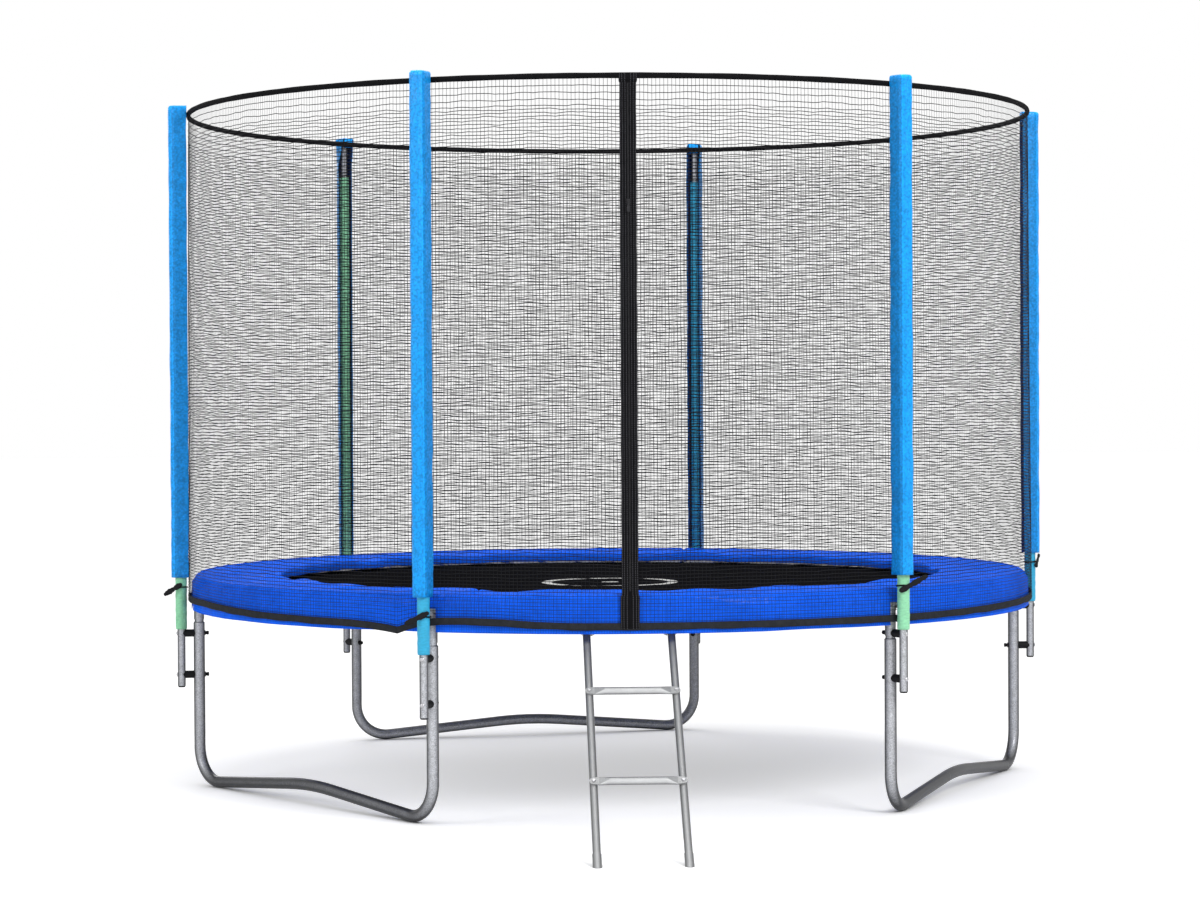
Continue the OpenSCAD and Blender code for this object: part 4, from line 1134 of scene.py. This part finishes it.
def make_floor():
    """A plain square with a glow that only the camera, mirrors and glass see: painted light that changes with the
    distance from the middle, taken away where pieces stand close as a painted contact shadow.
    """
    mesh = bpy.data.meshes.new("floor")
    mesh.from_pydata([(x, y, -0.0005) for x, y in ((-60, -60), (60, -60), (60, 60), (-60, 60))], [], [(0, 1, 2, 3)])
    floor = add_object("floor", mesh)
    m = bpy.data.materials.new("floor")
    m.use_nodes = True
    shader, w = m.node_tree.nodes["Principled BSDF"], Wires(m.node_tree)
    for label, value in (
            ("Base Color", (0.86, 0.86, 0.86, 1)), ("Roughness", 0.9), ("Specular IOR Level", 0.1),
            ("Emission Color", (1, 1, 1, 1))):
        shader.inputs[label].default_value = value
    x, y, _ = w.split(w.object())
    away = w.math("SQRT", w.plus(w.times(x, x), w.times(y, y)))
    # painted light: the glow falls from the middle out to 3.5 m and rises again past 5 m
    glow = w.plus(w.spread(away, 0.8, 3.5, 0.50, 0.32), w.spread(away, 5.0, 9.0, 0.0, 0.30))
    # painted contact shadow: ambient occlusion takes the glow away where pieces stand close
    corner = w.node("ShaderNodeAmbientOcclusion")
    corner.inputs["Distance"].default_value = 0.22
    open_sky = w.spread(corner.outputs["AO"], 0.35, 0.97, 0.0, 1.0)
    w.feed(shader.inputs["Emission Strength"], w.times(w.seen(), w.times(glow, open_sky)))
    mesh.materials.append(m)


class TRAMPOLINE_OT_studio(bpy.types.Operator):
    """Camera, white floor and surround, and large soft lamps"""
    bl_idname = "trampoline.studio"
    bl_label = "Studio"

    def execute(self, context):
        scene = context.scene
        scene.view_settings.view_transform = "Standard"
        data = bpy.data.cameras.new("view")
        data.lens, data.sensor_width, data.clip_end = CAMERA_LENS, 36.0, 200.0
        camera = add_object("view", data)
        camera.matrix_world = Matrix.Translation(CAMERA_PLACE) @ camera_turn()
        scene.camera = camera
        world = scene.world = bpy.data.worlds.new("surround")
        world.use_nodes = True
        back, w = world.node_tree.nodes["Background"], Wires(world.node_tree)
        w.feed(back.inputs["Strength"], w.spread(w.seen(), 0.0, 1.0, WORLD_LIGHT, 1.0))
        back.inputs["Color"].default_value = (1, 1, 1, 1)
        make_floor()
        for name, place, aim, size, power in LAMPS:
            light = bpy.data.lights.new(name, "AREA")
            light.shape, light.size, light.energy = "DISK", size, power
            lamp = add_object(name, light)
            lamp.location = place
            lamp.rotation_euler = (Vector(aim) - Vector(place)).to_track_quat("-Z", "Y").to_euler()
        return {"FINISHED"}


class TRAMPOLINE_PT_panel(bpy.types.Panel):
    """Every step, with the sizes and colours they use"""
    bl_idname = "TRAMPOLINE_PT_panel"
    bl_label = "Trampoline"
    bl_space_type = "VIEW_3D"
    bl_region_type = "UI"
    bl_category = "Trampoline"

    def draw(self, context):
        for step in STEPS:
            self.layout.operator(f"trampoline.{step}")
        for settings in (sizes(), colours()):
            for name in settings.__annotations__:
                self.layout.prop(settings, name)


STEPS = (
    "finishes", "foam", "sleeves", "net", "net_edges", "door", "ties", "mat", "mat_edge", "springs", "safety_pad",
    "pad_skirt", "studio",
)
CLASSES = (
    TrampolineSizes, TrampolineColours, TRAMPOLINE_OT_finishes, TRAMPOLINE_OT_foam, TRAMPOLINE_OT_sleeves,
    TRAMPOLINE_OT_net, TRAMPOLINE_OT_net_edges, TRAMPOLINE_OT_door, TRAMPOLINE_OT_ties, TRAMPOLINE_OT_mat,
    TRAMPOLINE_OT_mat_edge, TRAMPOLINE_OT_springs, TRAMPOLINE_OT_safety_pad, TRAMPOLINE_OT_pad_skirt,
    TRAMPOLINE_OT_studio, TRAMPOLINE_PT_panel,
)


def register():
    for c in CLASSES:
        bpy.utils.register_class(c)
    bpy.types.Scene.trampoline_sizes = bpy.props.PointerProperty(type=TrampolineSizes)
    bpy.types.Scene.trampoline_colours = bpy.props.PointerProperty(type=TrampolineColours)


def unregister():
    del bpy.types.Scene.trampoline_colours
    del bpy.types.Scene.trampoline_sizes
    for c in reversed(CLASSES):
        bpy.utils.unregister_class(c)


def main():
    register()
    for step in STEPS:
        result = getattr(bpy.ops.trampoline, step)()
        if result != {"FINISHED"}:
            raise RuntimeError(f"the operator {step} did not finish")


if __name__ == "__main__":
    main()
